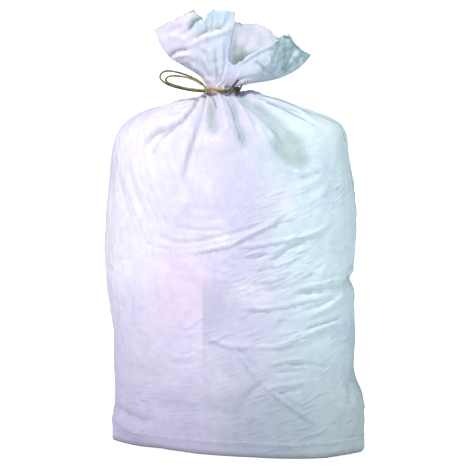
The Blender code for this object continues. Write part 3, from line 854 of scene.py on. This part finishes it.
def noiseField(rows, scales, seed, octaves=1):
    # smooth lumps, the same every run
    field = np.zeros(rows.shape[:2])
    shift = Vector((seed * 3.1, seed * 7.7, seed * 1.3))
    for j in range(rows.shape[0]):
        for i in range(rows.shape[1] - 1):
            p = rows[j, i]
            place = Vector((p[0] * scales[0], p[1] * scales[1], p[2] * scales[2])) + shift
            field[j, i] = noise.fractal(place, 1.0, 2.0, octaves)
    field[:, -1] = field[:, 0]
    return field


shoulderPleat = {
    "count": 34,
    "seed": 11,
    "uneven": 0.3,  # share of the space between two
    "wide": (0.045, 0.085),
    "reach": (0.035, 0.130),
    "depth": (0.0015, 0.0042),
    "drift": 0.25,
}
rufflePleat = {
    "count": 22,
    "seed": 23,
    "uneven": 0.35,
    "wide": (0.07, 0.13),
    "depth": (0.0015, 0.0048),
    "signs": (1, 1, -0.6),
    "end": (0.45, 1.15),  # share of the mouth's height
    "drift": 0.2,
}
gathers = {"height": 0.0009, "count": 23, "uneven": 1.6}  # the finest pleats, under the twine


def fineGathers(turn):
    wander = gathers["uneven"] * np.sin(3 * turn + 1)
    return gathers["height"] * np.cos(gathers["count"] * turn + wander)[None, :]


def pleatCentre(draw, k, pleat):
    return 2 * math.pi * (k + draw.uniform(-pleat["uneven"], pleat["uneven"])) / pleat["count"]


def shoulderPleats(turn, rows, kinds):
    # pleats gathered by the twine, all the way round, and how far each runs out over the shoulder
    draw = random.Random(shoulderPleat["seed"])
    height = rows[:, 0, 2]
    middle = np.array((form["neckShift"], 0.0))
    away = np.linalg.norm(rows[:, :, :2] - middle, axis=2)
    moved = np.zeros(rows.shape[:2])
    for k in range(shoulderPleat["count"]):
        centre = pleatCentre(draw, k, shoulderPleat)
        wide, reach, depth = (draw.uniform(*shoulderPleat[key]) for key in ("wide", "reach", "depth"))
        drift = draw.uniform(-shoulderPleat["drift"], shoulderPleat["drift"])
        gap = np.angle(np.exp(1j * (turn[None, :] - centre - drift * smoothStep(away, 0.02, 0.2))))
        fade = smoothStep(reach - away, 0.0, 0.05) * smoothStep(away, 0.018, 0.034)
        moved -= depth * np.exp(-((gap / wide) ** 2)) * fade
        moved += 0.45 * depth * np.exp(-(((gap - 1.9 * wide) / wide) ** 2)) * fade
    moved *= 1 - 0.75 * smoothStep(-np.sin(turn), 0.0, 0.5)[None, :]  # the front has its own folds
    upper = np.isin(kinds, ("body",))[:, None] & (height > form["shoulderHeight"] - 0.02)[:, None]
    neck = np.isin(kinds, ("neck",))[:, None]
    fine = fineGathers(turn)
    return np.where(upper, moved + fine * smoothStep(0.06 - away, 0, 0.03), 0) + np.where(neck, fine, 0)


def rufflePleats(turn, rows, kinds):
    # pleats that run up the mouth from the neck
    draw = random.Random(rufflePleat["seed"])
    share = np.zeros(rows.shape[0])
    ruffle = np.flatnonzero(kinds == "ruffle")
    share[ruffle] = (np.arange(len(ruffle)) + 1) / len(ruffle)
    moved = np.zeros(rows.shape[:2])
    for k in range(rufflePleat["count"]):
        centre = pleatCentre(draw, k, rufflePleat)
        wide = draw.uniform(*rufflePleat["wide"])
        depth = draw.uniform(*rufflePleat["depth"]) * draw.choice(rufflePleat["signs"])
        end = draw.uniform(*rufflePleat["end"])
        drift = draw.uniform(-rufflePleat["drift"], rufflePleat["drift"])
        gap = np.angle(np.exp(1j * (turn[None, :] - centre - drift * share[:, None])))
        fade = (smoothStep(end - share, 0.0, 0.4) * smoothStep(share, 0.0, 0.18))[:, None]
        moved -= depth * np.exp(-((gap / wide) ** 2)) * fade
    moved *= 1 - 0.55 * smoothStep(-np.sin(turn), 0.0, 0.4)[None, :] * smoothStep(share, 0.15, 0.5)[:, None]
    fine = fineGathers(turn) * smoothStep(0.25 - share, 0, 0.25)[:, None]
    return np.where((kinds == "ruffle")[:, None], moved + fine, 0)


def foldsAround(rows, normal, body, ruffle):
    # the folds of the front, of the back, of each side and of the mouth, each seen from its own side
    _, _, forward = cameraAxes()
    facing = -(normal @ forward)
    places = [p.reshape(facing.shape) for p in photoPixels(rows.reshape(-1, 3))]
    behind = [p.reshape(facing.shape) for p in photoPixels(rows.reshape(-1, 3), behind=True)]
    front = allFolds(places, [*frontFolds, *crinkleFolds("front")])
    moved = np.where(body, front * smoothStep(facing, 0.02, 0.20), 0)
    folds = []
    for height, width, steep, fromNeck, *points in frontFolds:
        drop = 0 if fromNeck else creases["backDrop"]
        points = [(view["pixels"] - x, y + drop) for x, y in points]
        height, width = height * creases["backShare"], max(width, creases["backWidth"])
        folds.append((height, width, steep, fromNeck, *points))
    back = allFolds(behind, [*folds, *crinkleFolds("back")])
    moved += np.where(body, back * smoothStep(-facing, 0.15, 0.50), 0)
    for side, name in ((1, "right"), (-1, "left")):
        across, up = creases["sideScale"]
        level = view["pixels"] / 2 + side * rows[:, :, 1] / across, creases["sideFloor"] - rows[:, :, 2] / up
        folds = [(fold[0], creases["sideWidth"] * fold[1], *fold[2:]) for fold in crinkleFolds(name)]
        moved += np.where(body, allFolds(level, folds) * smoothStep(side * normal[:, :, 0], 0.45, 0.8), 0)
    outer = allFolds(places, [*ruffleFolds, *crinkleFolds("mouth")])
    inner = allFolds(places, mouthFolds)
    moved += np.where(ruffle, outer * smoothStep(facing, 0.05, 0.3), 0)
    moved -= np.where(ruffle, inner * smoothStep(-facing, 0.05, 0.3), 0)
    return moved


def sculptedSack():
    turn, rows, kinds = sackRows()
    closed = rows.shape[1] - 1
    normal = gridNormals(rows)
    body = np.isin(kinds, ("body", "foot"))[:, None]
    ruffle = (kinds == "ruffle")[:, None]
    high = rows[:, :, 2]
    moved = shoulderPleats(turn, rows, kinds) + rufflePleats(turn, rows, kinds)
    lumps = sum(height * noiseField(rows, *rest) for height, *rest in cloth["lumps"])
    moved += np.where(body, lumps * smoothStep(high, 0.005, 0.05), 0)
    moved += foldsAround(rows, normal, body, ruffle)
    for place, reach, height in swells:
        moved += np.where(body, swell(rows, place, reach, height), 0)
    dent = np.exp(-(((high - nick["height"]) / nick["half"]) ** 2)) * smoothStep(normal[:, :, 0], 0.7, 0.95)
    moved -= np.where(body, nick["depth"] * dent, 0)
    away = np.linalg.norm(rows[:, :, :2] - np.array((form["neckShift"], 0.0)), axis=2)
    shallow, growth, near, far = cloth["neckLimit"]
    deepest = shallow + growth * np.clip(away - near, 0, far)
    moved = np.where(body, np.maximum(moved, -deepest), moved)
    moved = np.clip(moved, *cloth["limits"])
    hem = (high < cloth["hemTop"]) & np.isin(kinds, ("foot",))[:, None]
    step = cloth["hemProud"] * np.clip(-3 * np.sin(turn), 0, 1)[None, :]
    moved += np.where(hem, step * smoothStep(high, 0.001, 0.006), 0)
    moved[:, closed] = moved[:, 0]
    made = rows + normal * (moved[:, :, None] + cloth["thickness"])
    made[kinds == "under", :, 2] = rows[kinds == "under", :, 2] + cloth["underLift"]
    made[:, :, 2] = np.maximum(made[:, :, 2], cloth["floorGap"])
    made[:, closed] = made[:, 0]
    return {"turn": turn, "plain": rows, "normal": normal, "moved": moved, "rows": made, "kinds": kinds}


def gridMesh(rows, around, along, values=None):
    # a grid rolled into a tube, with the flat cloth's own measure as its UV map
    count, columns = rows.shape[0] - 1, rows.shape[1] - 1
    bm = bmesh.new()
    bmesh.ops.create_grid(bm, x_segments=columns, y_segments=count, size=0.5)
    flat = bm.loops.layers.uv.new("cloth")
    own = {name: bm.verts.layers.float.new(name) for name in values or {}}
    for vert in bm.verts:
        vert.index = round((vert.co.y + 0.5) * count) * (columns + 1) + round((vert.co.x + 0.5) * columns)
    for face in bm.faces:
        for loop in face.loops:
            j, i = divmod(loop.vert.index, columns + 1)
            loop[flat].uv = (around[i], along[j])
    places = rows.reshape(-1, 3)
    for vert in bm.verts:
        vert.co = places[vert.index]
        for name, layer in own.items():
            vert[layer] = values[name].flat[vert.index]
    bmesh.ops.remove_doubles(bm, verts=bm.verts, dist=0.000002)
    return bm


fabric = {
    "tape": 0.0025,
    "left": (0.840, 0.800, 0.930),
    "middle": (0.690, 0.680, 0.840),
    "right": (0.720, 0.885, 0.905),
    "pink": (0.880, 0.740, 0.930),
    "blue": (0.640, 0.680, 0.920),
    "pale": (0.930, 0.920, 0.960),
    "footShadeLeft": (0.555, 0.525, 0.675),
    "footShadeRight": (0.445, 0.525, 0.550),
    "shade": (0.500, 0.500, 0.640),
    "mouth": (0.680, 0.800, 0.880),
    "lobe": (0.830, 0.775, 0.930),
    "band": (0.590, 0.740, 0.800),
    "inner": (0.720, 0.690, 0.820),
    "lowShade": (0.350, 0.400, 0.480),
    "flap": (0.290, 0.480, 0.480),
    "flapPale": (0.640, 0.830, 0.840),
    "plain": (0.790, 0.800, 0.850),
    "hollowLeft": (0.440, 0.470, 0.530),
    "hollow": (0.400, 0.520, 0.485),
    "hollowTop": (0.400, 0.470, 0.350),
    "slopeShade": (0.560, 0.660, 0.660),
    "rightSideShade": (0.215, 0.290, 0.290),
    "crease": (0.140, 0.130, 0.180),
    "foldLineShade": (0.200, 0.270, 0.290),
    "foldLineShadeWidth": 0.013,
    "deep": (0.400, 0.500, 0.380),
    "rim": (0.110, 0.130, 0.150),
    "rimStops": (  # how dark the mouth's cut edge is, from left to right
        (0.14, 0.35), (0.22, 0.30), (0.23, 0.65), (0.30, 0.65), (0.32, 0.25), (0.49, 0.30), (0.505, 1.0),
        (0.54, 1.0), (0.56, 0.35), (0.75, 0.40), (0.77, 1.0), (0.83, 1.0), (0.85, 0.70), (1.00, 0.60),
    ),
    "weave": 0.00008,
    "crinkle": 0.0065,
}
cover = {  # how strongly each tint covers what lies below it
    "blue": 0.45, "pale": 0.55, "pink": 0.70, "paintedHighlight": 0.60, "shade": 0.65, "footShade": 0.90, "lowShade": 0.28,
    "rightSideShade": 0.42, "lobe": 0.80, "band": 0.80, "inner": 0.70, "flap": 0.90, "hollow": 0.70,
    "slopeShade": 0.45, "foldLineShade": 0.35, "deep": 0.70, "rim": 0.80,
}
thinCreases = (  # painted crease shadows: half width, strength, and its two ends in the photograph's frame
    (0.0020, 0.40, (244, 91.5), (256, 94)),
    (0.0022, 0.60, (256, 94), (282, 101)),
    (0.0022, 0.52, (282, 101), (308, 112)),
    (0.0020, 0.34, (308, 112), (336, 123)),
    (0.0018, 0.38, (260, 98.5), (300, 113)),
    (0.0024, 0.62, (267, 103), (277, 107)),
    (0.0020, 0.50, (277, 107), (305, 120.5)),
    (0.0024, 0.60, (212.5, 97), (216.5, 108)),
    (0.0013, 0.35, (339, 124), (345, 142)),
)


def creaseAt(plane, shape, crease):
    # how near a point lies to a thin crease, for its painted shadow, in the plane across the camera's line of
    # sight
    half, strength, *spots = crease
    right, up, forward = cameraAxes()
    body = shape["kinds"] == "body"
    rows = shape["rows"][body].reshape(-1, 3)
    facing = shape["normal"][body].reshape(-1, 3) @ forward
    px, py = photoPixels(rows)
    ends = []
    for x, y in spots:
        # the nearest point that faces the camera
        near = (np.hypot(px - x, py - y) + 90 * (facing > 0)).argmin()
        across = rows[near] @ right + (x - px[near]) * view["metresPerPixel"]
        ends.append((across, rows[near] @ up - (y - py[near]) * view["metresPerPixel"]))
    (ax, ay), (bx, by) = ends
    span = Vector((bx - ax, by - ay, 0.0))
    gone = plane.vector("SUBTRACT", {0: plane, 1: (ax, ay, 0.0)})
    share = plane.vector("DOT_PRODUCT", {0: gone, 1: span / span.length_squared}, out=1)
    foot = plane.vector("SCALE", {0: span, "Scale": plane.node("Clamp", inputs={0: share})})
    return plane.vector("DISTANCE", {0: gone, 1: foot}, out=1).below(half, half) * strength


def broadTints(x, z, cloud, blotch):
    # cooler to the right and lavender to the left, partly the cloth's own tint and partly the lights' colour
    # casts painted in; rosy at the middle left; a painted highlight on the upper left, a painted fold shadow
    # and painted shade low in the middle, and painted shade darkening towards the foot
    base = (x + cloud * 0.4).rising(-0.09, 0.02).blend(fabric["left"], fabric["middle"])
    base = (x + cloud * 0.7).rising(0.00, 0.13).blend(base, fabric["right"])
    base = (blotch.rising(0.50, 0.72) * cover["blue"]).blend(base, fabric["blue"])
    base = ((1 - blotch).rising(0.54, 0.74) * cover["pale"]).blend(base, fabric["pale"])
    rosy = (0.30 - ((x + 0.085) ** 2.0 * 60.0 + (z - 0.26) ** 2.0 * 30.0) + cloud * 3.0).rising(0.0, 0.30)
    base = (rosy * cover["pink"]).blend(base, fabric["pink"])
    # a painted highlight on the upper left, where the cloth faces the light
    paintedHighlight = (-0.090 - x + cloud * 0.2).rising(0.0, 0.05) * (z + cloud * 0.4).rising(0.23, 0.31)
    base = (paintedHighlight * z.below(0.52, 0.04) * cover["paintedHighlight"]).blend(base, fabric["pale"])
    # a painted fold shadow, greyest just right of a sharp upright edge and fading to the right
    grey = (x + 0.0500 + cloud * 0.02).rising(-0.003, 0.003) * (0.030 - x + cloud).rising(0.0, 0.080)
    grey = grey * (z + cloud * 0.3).rising(0.120, 0.180) * z.below(0.300, 0.06)
    base = (grey * cover["shade"]).blend(base, fabric["shade"])
    # painted shade, darker towards the foot: lavender on the left and cyan on the right
    footShade = x.rising(-0.10, 0.12).blend(fabric["footShadeLeft"], fabric["footShadeRight"])
    base = ((0.32 - z + cloud).rising(0.0, 0.33) * cover["footShade"]).blend(base, footShade)
    # painted shade in a patch low in the middle
    low = (0.095 - abs(x - 0.045) + cloud * 0.4).rising(0.0, 0.06)
    low = low * (0.075 - abs(z - 0.055) + cloud * 0.3).rising(0.0, 0.05)
    return (low * cover["lowShade"]).blend(base, fabric["lowShade"])


def mouthTints(base, where, cloud, blotch, above):
    # the gathered mouth is duller, and its right flap green with shade
    x, y, z = (where.part(k) for k in range(3))
    base = (above * (0.35 + blotch * 0.5)).blend(base, fabric["mouth"])
    lobe = (-0.030 - x + (z - 0.635) * 0.4 + cloud * 0.3).rising(0.0, 0.05) * above
    base = (lobe * cover["lobe"]).blend(base, fabric["lobe"])
    band = (z - x * 0.386 - 0.670).rising(0.0, 0.003) * (x + 0.072).rising(0.0, 0.008) * x.below(0.006, 0.006)
    base = (band * y.below(0.005, 0.010) * cover["band"]).blend(base, fabric["band"])
    base = (above * y.rising(0.0, 0.015) * cover["inner"]).blend(base, fabric["inner"])
    flap = where.noise(95.0, 4.0, 0.6).rising(0.35, 0.65).blend(fabric["flap"], fabric["flapPale"])
    return (above * (x + cloud * 0.2).rising(0.040, 0.070) * cover["flap"]).blend(base, flap)


def darkenedRim(base, where, v, rimAt):
    # the dark cut edge of the mouth
    x, y = where.part(0), where.part(1)
    rimDarkness = where.node("ValToRGB", {"stops": fabric["rimStops"]}, {0: x * 4.0 + 0.5})
    rimDarkness = rimDarkness * (where.noise(60.0, 2.0).rising(0.35, 0.60) * 0.7 + 0.3)
    rimDarkness = rimDarkness * (1 - x.rising(0.0, 0.004) * x.below(0.05, 0.01) * y.below(0.0, 0.01) * 0.85)
    return (v.rising(rimAt - 0.0045, rimAt - 0.0005) * rimDarkness).blend(base, fabric["rim"])


def wovenTapes(u, v):
    # crossing tapes: the tone of the one on top, and the height of the weave
    across, along = u * (1 / fabric["tape"]), v * (1 / fabric["tape"])
    cells = u.node("CombineXYZ", inputs={0: across, 1: along})
    over = u.node("TexChecker", inputs={"Vector": cells, "Scale": 1.0}, out=1)
    tones, ridges = [], []
    for value in (across, along):
        place = u.node("CombineXYZ", inputs={0: value.math("FLOOR", value)})
        tones.append(u.node("TexWhiteNoise", {"noise_dimensions": "3D"}, {"Vector": place}))
        ridges.append(abs(value.math("SINE", value * math.pi)))
    return [over * first + (1 - over) * second for first, second in (tones, ridges)]


def crinkles(where, cloud):
    # fine crinkles: upright on the upper left, slanting over the rest, flatter on the right shoulder
    x, z = where.part(0), where.part(2)
    upright = where.stretched((150.0, 80.0, 32.0)).noise(1.0, 4.0, 0.6, "RIDGED_MULTIFRACTAL")
    lean = {"Vector": where, "Angle": math.radians(20)}
    turned = where.node("VectorRotate", {"rotation_type": "Y_AXIS"}, lean)
    slanting = turned.stretched((30.0, 80.0, 130.0)).noise(1.0, 4.0, 0.6, "RIDGED_MULTIFRACTAL")
    upper = (z - x * 1.6 + cloud).rising(0.30, 0.44)
    spots = turned.stretched((26.0, 30.0, 40.0))
    facets = where.node("TexVoronoi", {"feature": "F1"}, {"Vector": spots, "Scale": 1.0})
    amount = where.noise(11.0, 2.0).rising(0.35, 0.65) * 0.8 + 0.2
    amount = amount * (1 - z.rising(0.415, 0.455) * x.rising(0.00, 0.04) * 0.75)
    return (upper * upright + (1 - upper) * slanting + facets * 0.25) * amount


def sackMaterial(shape, rimAt):
    made, start, where, shader = newMaterial("wovenWhite", {"Roughness": 0.5, "Specular IOR Level": 0.35})
    flat = start.node("UVMap", {"uv_map": "cloth"})
    u, v = flat.part(0), flat.part(1)
    x, y, z = (where.part(k) for k in range(3))
    hollow, edge = (start.node("Attribute", {"attribute_name": name}, out=2) for name in ("hollow", "edge"))
    cloud = where.noise(7.0, 3.0) * 0.16 - 0.08
    blotch = where.noise(19.0, 3.0)
    base = broadTints(x, z, cloud, blotch)
    beside = abs(start.math("MODULO", u, 0.5) - 0.25)  # 0.25 on the fold down each side
    # painted shade low down the right side, where the cloth turns from the light
    rightShade = (beside + cloud * 0.08).rising(0.205, 0.245) * (0.330 - z + cloud).rising(0.0, 0.20)
    rightShade = rightShade * x.rising(0.10, 0.15) * y.below(0.04, 0.03)
    base = (rightShade * cover["rightSideShade"]).blend(base, fabric["rightSideShade"])
    above = z.rising(0.570, 0.600)
    base = mouthTints(base, where, cloud, blotch, above)
    base = y.rising(-0.01, 0.08).blend(base, fabric["plain"])
    # painted shade in the valleys of the folds, greener near the neck
    shaded = x.rising(-0.060, -0.030).blend(fabric["hollowLeft"], fabric["hollow"])
    shaded = (z.rising(0.512, 0.540) * x.below(-0.005, 0.020)).blend(shaded, fabric["hollowTop"])
    base = (hollow * cover["hollow"]).blend(base, shaded)
    # painted shade on the right shoulder's incline beside the neck
    slopeShade = (x * 0.44 + z - 0.565).rising(-0.012, 0.004) * (x - 0.020).rising(0.0, 0.020)
    slopeShade = slopeShade * x.below(0.110, 0.030)
    base = (slopeShade * (1 - above) * y.below(0.01, 0.01) * cover["slopeShade"]).blend(base, fabric["slopeShade"])
    # painted shadows along thin creases on the right shoulder, and painted shade along the flattened fold
    # down each side of the flat tube
    up = cameraAxes()[1]
    plane = start.node("CombineXYZ", inputs={0: x, 1: y * float(up[1]) + z * float(up[2])})
    lines = creaseAt(plane, shape, thinCreases[0])
    for crease in thinCreases[1:]:
        lines = start.math("MAXIMUM", lines, creaseAt(plane, shape, crease))
    base = (lines * y.below(0.004, 0.014) * (1 - above)).blend(base, fabric["crease"])
    # painted shade along the fold down each side, standing for the side turning from the light
    width = fabric["foldLineShadeWidth"]
    foldLineShade = (beside - (0.25 - width)).rising(0.0, width) * (blotch.rising(0.30, 0.60) * 0.5 + 0.5)
    base = (foldLineShade * z.below(0.470, 0.04) * cover["foldLineShade"]).blend(base, fabric["foldLineShade"])
    # painted shade in the throat behind the mouth's front
    deep = abs(x - 0.006).below(0.016, 0.012) * abs(z - 0.612).below(0.022, 0.014)
    base = (deep * y.rising(-0.004, 0.004) * cover["deep"]).blend(base, fabric["deep"])
    base = darkenedRim(base, where, v, rimAt)
    # painted shade on the underside and a painted contact shadow along the hem's foot
    base = (edge * cover["rim"]).blend(base, fabric["rim"])
    tone, weave = wovenTapes(u, v)
    mottle = where.noise(70.0, 4.0, 0.65).rising(0.30, 0.70)
    tone = (tone * 0.03 + 0.97) * (mottle * 0.09 + 0.94)
    base.vector("SCALE", {0: base, "Scale": tone}).feed(shader, "Base Color")
    bump = start.node("Bump", inputs={"Strength": 0.35, "Distance": fabric["weave"], "Height": weave})
    bumped = {"Strength": 0.5, "Distance": fabric["crinkle"], "Normal": bump}
    bumped["Height"] = crinkles(where, cloud)
    start.node("Bump", inputs=bumped).feed(shader, "Normal")
    return made


def makeSack(shape):
    rows, kinds = shape["rows"], shape["kinds"]
    middle = rows[np.flatnonzero(kinds == "body")[cloth["girthRow"]]]
    steps = np.linalg.norm(np.diff(middle, axis=0), axis=1)
    around = np.concatenate([[0], np.cumsum(steps)]) / steps.sum() * cloth["flat"][0]
    climbs = np.linalg.norm(np.diff(rows[:, ::12], axis=0), axis=2).mean(1)
    along = np.concatenate([[0], np.cumsum(climbs)])
    # painted shade in the valleys: strong on the shoulder, hardly below it
    high = smoothStep(shape["plain"][:, :, 2], 0.38, 0.44)
    hollow = np.clip((-shape["moved"] - cloth["hollowFrom"]) / cloth["hollowDepth"], 0, 1)
    hollow = hollow * (0.25 + 0.75 * high)
    hollow[np.isin(kinds, ("under", "foot", "neck"))] = 0
    # painted shade over the underside and a painted contact shadow along the hem's lowest rows
    edge = np.zeros(hollow.shape)
    edge[kinds == "under"] = 1
    edge[np.flatnonzero(kinds == "foot")[: len(cloth["hemContactShadow"])]] = np.array(cloth["hemContactShadow"])[:, None]
    values = {"hollow": hollow, "edge": edge}
    mesh = finishMesh("wovenSack", gridMesh(rows, around, along, values), outward=True)
    sack = link("wovenSack", mesh, sackMaterial(shape, float(along[-1])))
    wall = sack.modifiers.new("wall", "SOLIDIFY")
    wall.thickness = cloth["thickness"]
    wall.offset = -1.0
    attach(sack, "root")
    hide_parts("woven_sack")
    print("sack", len(mesh.polygons), "faces, cloth", round(along[-1], 3), "m long")
    return sack


sackForm = sculptedSack()
sack = makeSack(sackForm)


# cement: it fills the sack out, so it takes the form of the cloth's inside
cement = {
    "gap": 0.0011,
    "near": 3,  # rows and columns round a point whose deepest fold counts
    "floorGap": 0.0022,
    "mound": ((0.480, 0.10), (0.489, 0.28), (0.496, 0.50), (0.500, 0.74)),  # height, share of the way in
    "below": 0.006,
    "lumps": (0.0016, (26, 26, 26), 9, 2),  # height, scale, seed, octaves
    "dark": (0.150, 0.150, 0.145),
    "light": (0.245, 0.242, 0.232),
}


def cementMaterial():
    made, start, where, shader = newMaterial("greyCement", {"Roughness": 0.95, "Specular IOR Level": 0.2})
    grain, clods = where.noise(420.0, 3.0), where.noise(34.0, 3.0)
    tone = (clods * 0.6 + grain * 0.4).rising(0.3, 0.7)
    tone.blend(cement["dark"], cement["light"]).feed(shader, "Base Color")
    bumped = {"Strength": 0.6, "Distance": 0.0012, "Height": clods + grain * 0.3}
    start.node("Bump", inputs=bumped).feed(shader, "Normal")
    return made


def lowest(values, reach):
    # the lowest value near each point, so that no fold of the cloth dips into the cement
    for axis in (0, 1):
        shifted = [np.roll(values[:, :-1], k, axis) for k in range(-reach, reach + 1)]
        if axis == 0:
            for k, part in zip(range(-reach, reach + 1), shifted):
                part[: max(k, 0)] = 0
        values = np.min(shifted, 0)
        values = np.concatenate([values, values[:, :1]], 1)
    return values


def makeCement(shape):
    kinds = shape["kinds"]
    moved = lowest(shape["moved"], cement["near"]) - cement["gap"]
    inner = shape["plain"] + shape["normal"] * moved[:, :, None]
    inner[:, :, 2] = np.maximum(inner[:, :, 2], cement["floorGap"])
    high = shape["plain"][:, 0, 2]
    top = np.flatnonzero((kinds == "body") & (high < cement["mound"][0][0] - cement["below"]))[-1]
    shell = inner[: top + 1]
    edge = shell[-1]
    centre = np.array((edge[:, 0].mean(), edge[:, 1].mean(), 0.0))
    mound = []
    for height, share in cement["mound"]:
        ring = edge + (centre - edge) * share
        ring[:, 2] = height
        mound.append(ring)
    mound = np.array(mound)
    height, *rest = cement["lumps"]
    mound[:, :, 2] += height * noiseField(mound, *rest)
    shell = np.concatenate([shell[::2], mound])[:, ::2]  # half as fine as the cloth
    bm = gridMesh(shell, np.linspace(0, 1, shell.shape[1]), np.linspace(0, 1, len(shell)))
    rims = [e for e in bm.edges if e.is_boundary]
    filled = bmesh.ops.holes_fill(bm, edges=rims, sides=0)["faces"]
    bmesh.ops.poke(bm, faces=filled)
    made = link("cementFill", finishMesh("cementFill", bm), cementMaterial())
    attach(made, "root")
    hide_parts("cement_fill")
    print("cement", len(made.data.polygons), "faces")
    return made


fill = makeCement(sackForm)


# the chain stitch along the hem's front
stitch = {
    "height": 0.021,
    "pitch": 0.0078,
    "length": 0.0066,
    "thread": 0.0011,
    "bow": 0.0007,
    "from": math.radians(202),
    "to": math.radians(338),
    "uneven": 0.00022,
    "dull": (0.45, 0.45, 0.49),
    "white": (0.60, 0.60, 0.64),
}


def stitchMaterial():
    made, start, where, shader = newMaterial("whiteThread", {"Roughness": 0.7, "Sheen Weight": 0.3})
    fibre = where.noise(1600.0, 2.0)
    fibre.rising(0.3, 0.7).blend(stitch["dull"], stitch["white"]).feed(shader, "Base Color")
    start.node("Bump", inputs={"Strength": 0.4, "Distance": 0.0002, "Height": fibre}).feed(shader, "Normal")
    return made


def makeStitches(shape):
    turn, rows, kinds = shape["turn"], shape["rows"], shape["kinds"]
    normal = gridNormals(rows)
    foot = np.flatnonzero(kinds == "foot")
    level = foot[np.argmin(np.abs(rows[foot, 0, 2] - stitch["height"]))]
    line, out = rows[level], normal[level]
    along = np.concatenate([[0], np.cumsum(np.linalg.norm(np.diff(line, axis=0), axis=1))])
    start, end = (np.interp(stitch[key], turn, along) for key in ("from", "to"))
    places = np.arange(start, end, stitch["pitch"])

    def pointAt(gone, lift):
        place = np.array([np.interp(gone, along, line[:, k]) for k in range(3)])
        away = np.array([np.interp(gone, along, out[:, k]) for k in range(3)])
        return Vector(place + away / np.linalg.norm(away) * lift)

    bm = bmesh.new()
    radius = stitch["thread"] / 2
    draw = random.Random(31)
    for gone in places:
        drop = Vector((0, 0, draw.gauss(0, stitch["uneven"])))
        path = []
        for s in np.linspace(0, 1, 7):
            lift = radius * 0.25 + stitch["bow"] * math.sin(math.pi * s)
            path.append(pointAt(gone + s * stitch["length"], lift) + drop)
        tubeInto(bm, path, radius, sides=8)
    made = link("hemStitches", finishMesh("hemStitches", bm), stitchMaterial())
    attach(made, "root")
    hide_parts("hem_thread")
    print("hem", len(places), "stitches")
    return made


stitches = makeStitches(sackForm)


# floor, light and surroundings
studio = {
    "floorSize": 30.0,
    "floorDrop": 0.0002,
    "floor": (0.85, 0.85, 0.87),
    "floorLight": (0.10, 0.10, 0.11),  # what it gives off, and how bright the camera sees it
    "floorSeen": (0.93, 0.93, 0.93),
    "surroundLeft": (0.285, 0.262, 0.370),
    "surroundRight": (0.225, 0.310, 0.325),
    "surroundAbove": (0.540, 0.530, 0.600),
    "behind": (1.0, 1.0, 1.0),
    "lights": (
        # name, place, aim, size, power, colour
        ("key", (-0.80, -1.30, 2.10), (0.0, 0.0, 0.40), 0.35, 35.0, (1.0, 0.98, 0.97)),
        ("fill", (2.05, -1.25, 1.90), (0.0, 0.0, 0.45), 1.0, 15.5, (0.90, 1.0, 0.98)),
    ),
}


def makeStage():
    bm = bmesh.new()
    bmesh.ops.create_grid(bm, x_segments=1, y_segments=1, size=studio["floorSize"])
    constants = {"Base Color": (*studio["floor"], 1.0), "Roughness": 0.9, "Emission Strength": 1.0}
    made, start, _, shader = newMaterial("paleFloor", constants)
    seen = start.node("LightPath", out=0)
    seen.blend(studio["floorLight"], studio["floorSeen"]).feed(shader, "Emission Color")
    floor = link("floor", finishMesh("floor", bm), made)
    floor.location.z = -studio["floorDrop"]


def makeLight(name, place, aim, size, power, colour):
    lamp = bpy.data.lights.new(name, "AREA")
    lamp.shape = "DISK"
    lamp.size = size
    lamp.energy = power
    lamp.color = colour
    made = bpy.data.objects.new(name, lamp)
    made.location = place
    made.rotation_euler = (Vector(aim) - Vector(place)).to_track_quat("-Z", "Y").to_euler()
    bpy.context.scene.collection.objects.link(made)


def makeWorld():
    world = bpy.data.worlds.new("studio")
    bpy.context.scene.world = world
    world.use_nodes = True
    start = Wire(world.node_tree, None)
    background = world.node_tree.nodes["Background"]
    towards = start.node("TexCoord", out=0)
    around = towards.part(0).rising(-0.8, 0.8).blend(studio["surroundLeft"], studio["surroundRight"])
    around = towards.part(2).rising(0.1, 0.9).blend(around, studio["surroundAbove"])
    start.node("LightPath", out=0).blend(around, studio["behind"]).feed(background, "Color")


makeStage()
makeWorld()
for light in studio["lights"]:
    makeLight(*light)
bpy.context.scene.view_settings.view_transform = "Standard"
print("stage and", len(studio["lights"]), "lights")
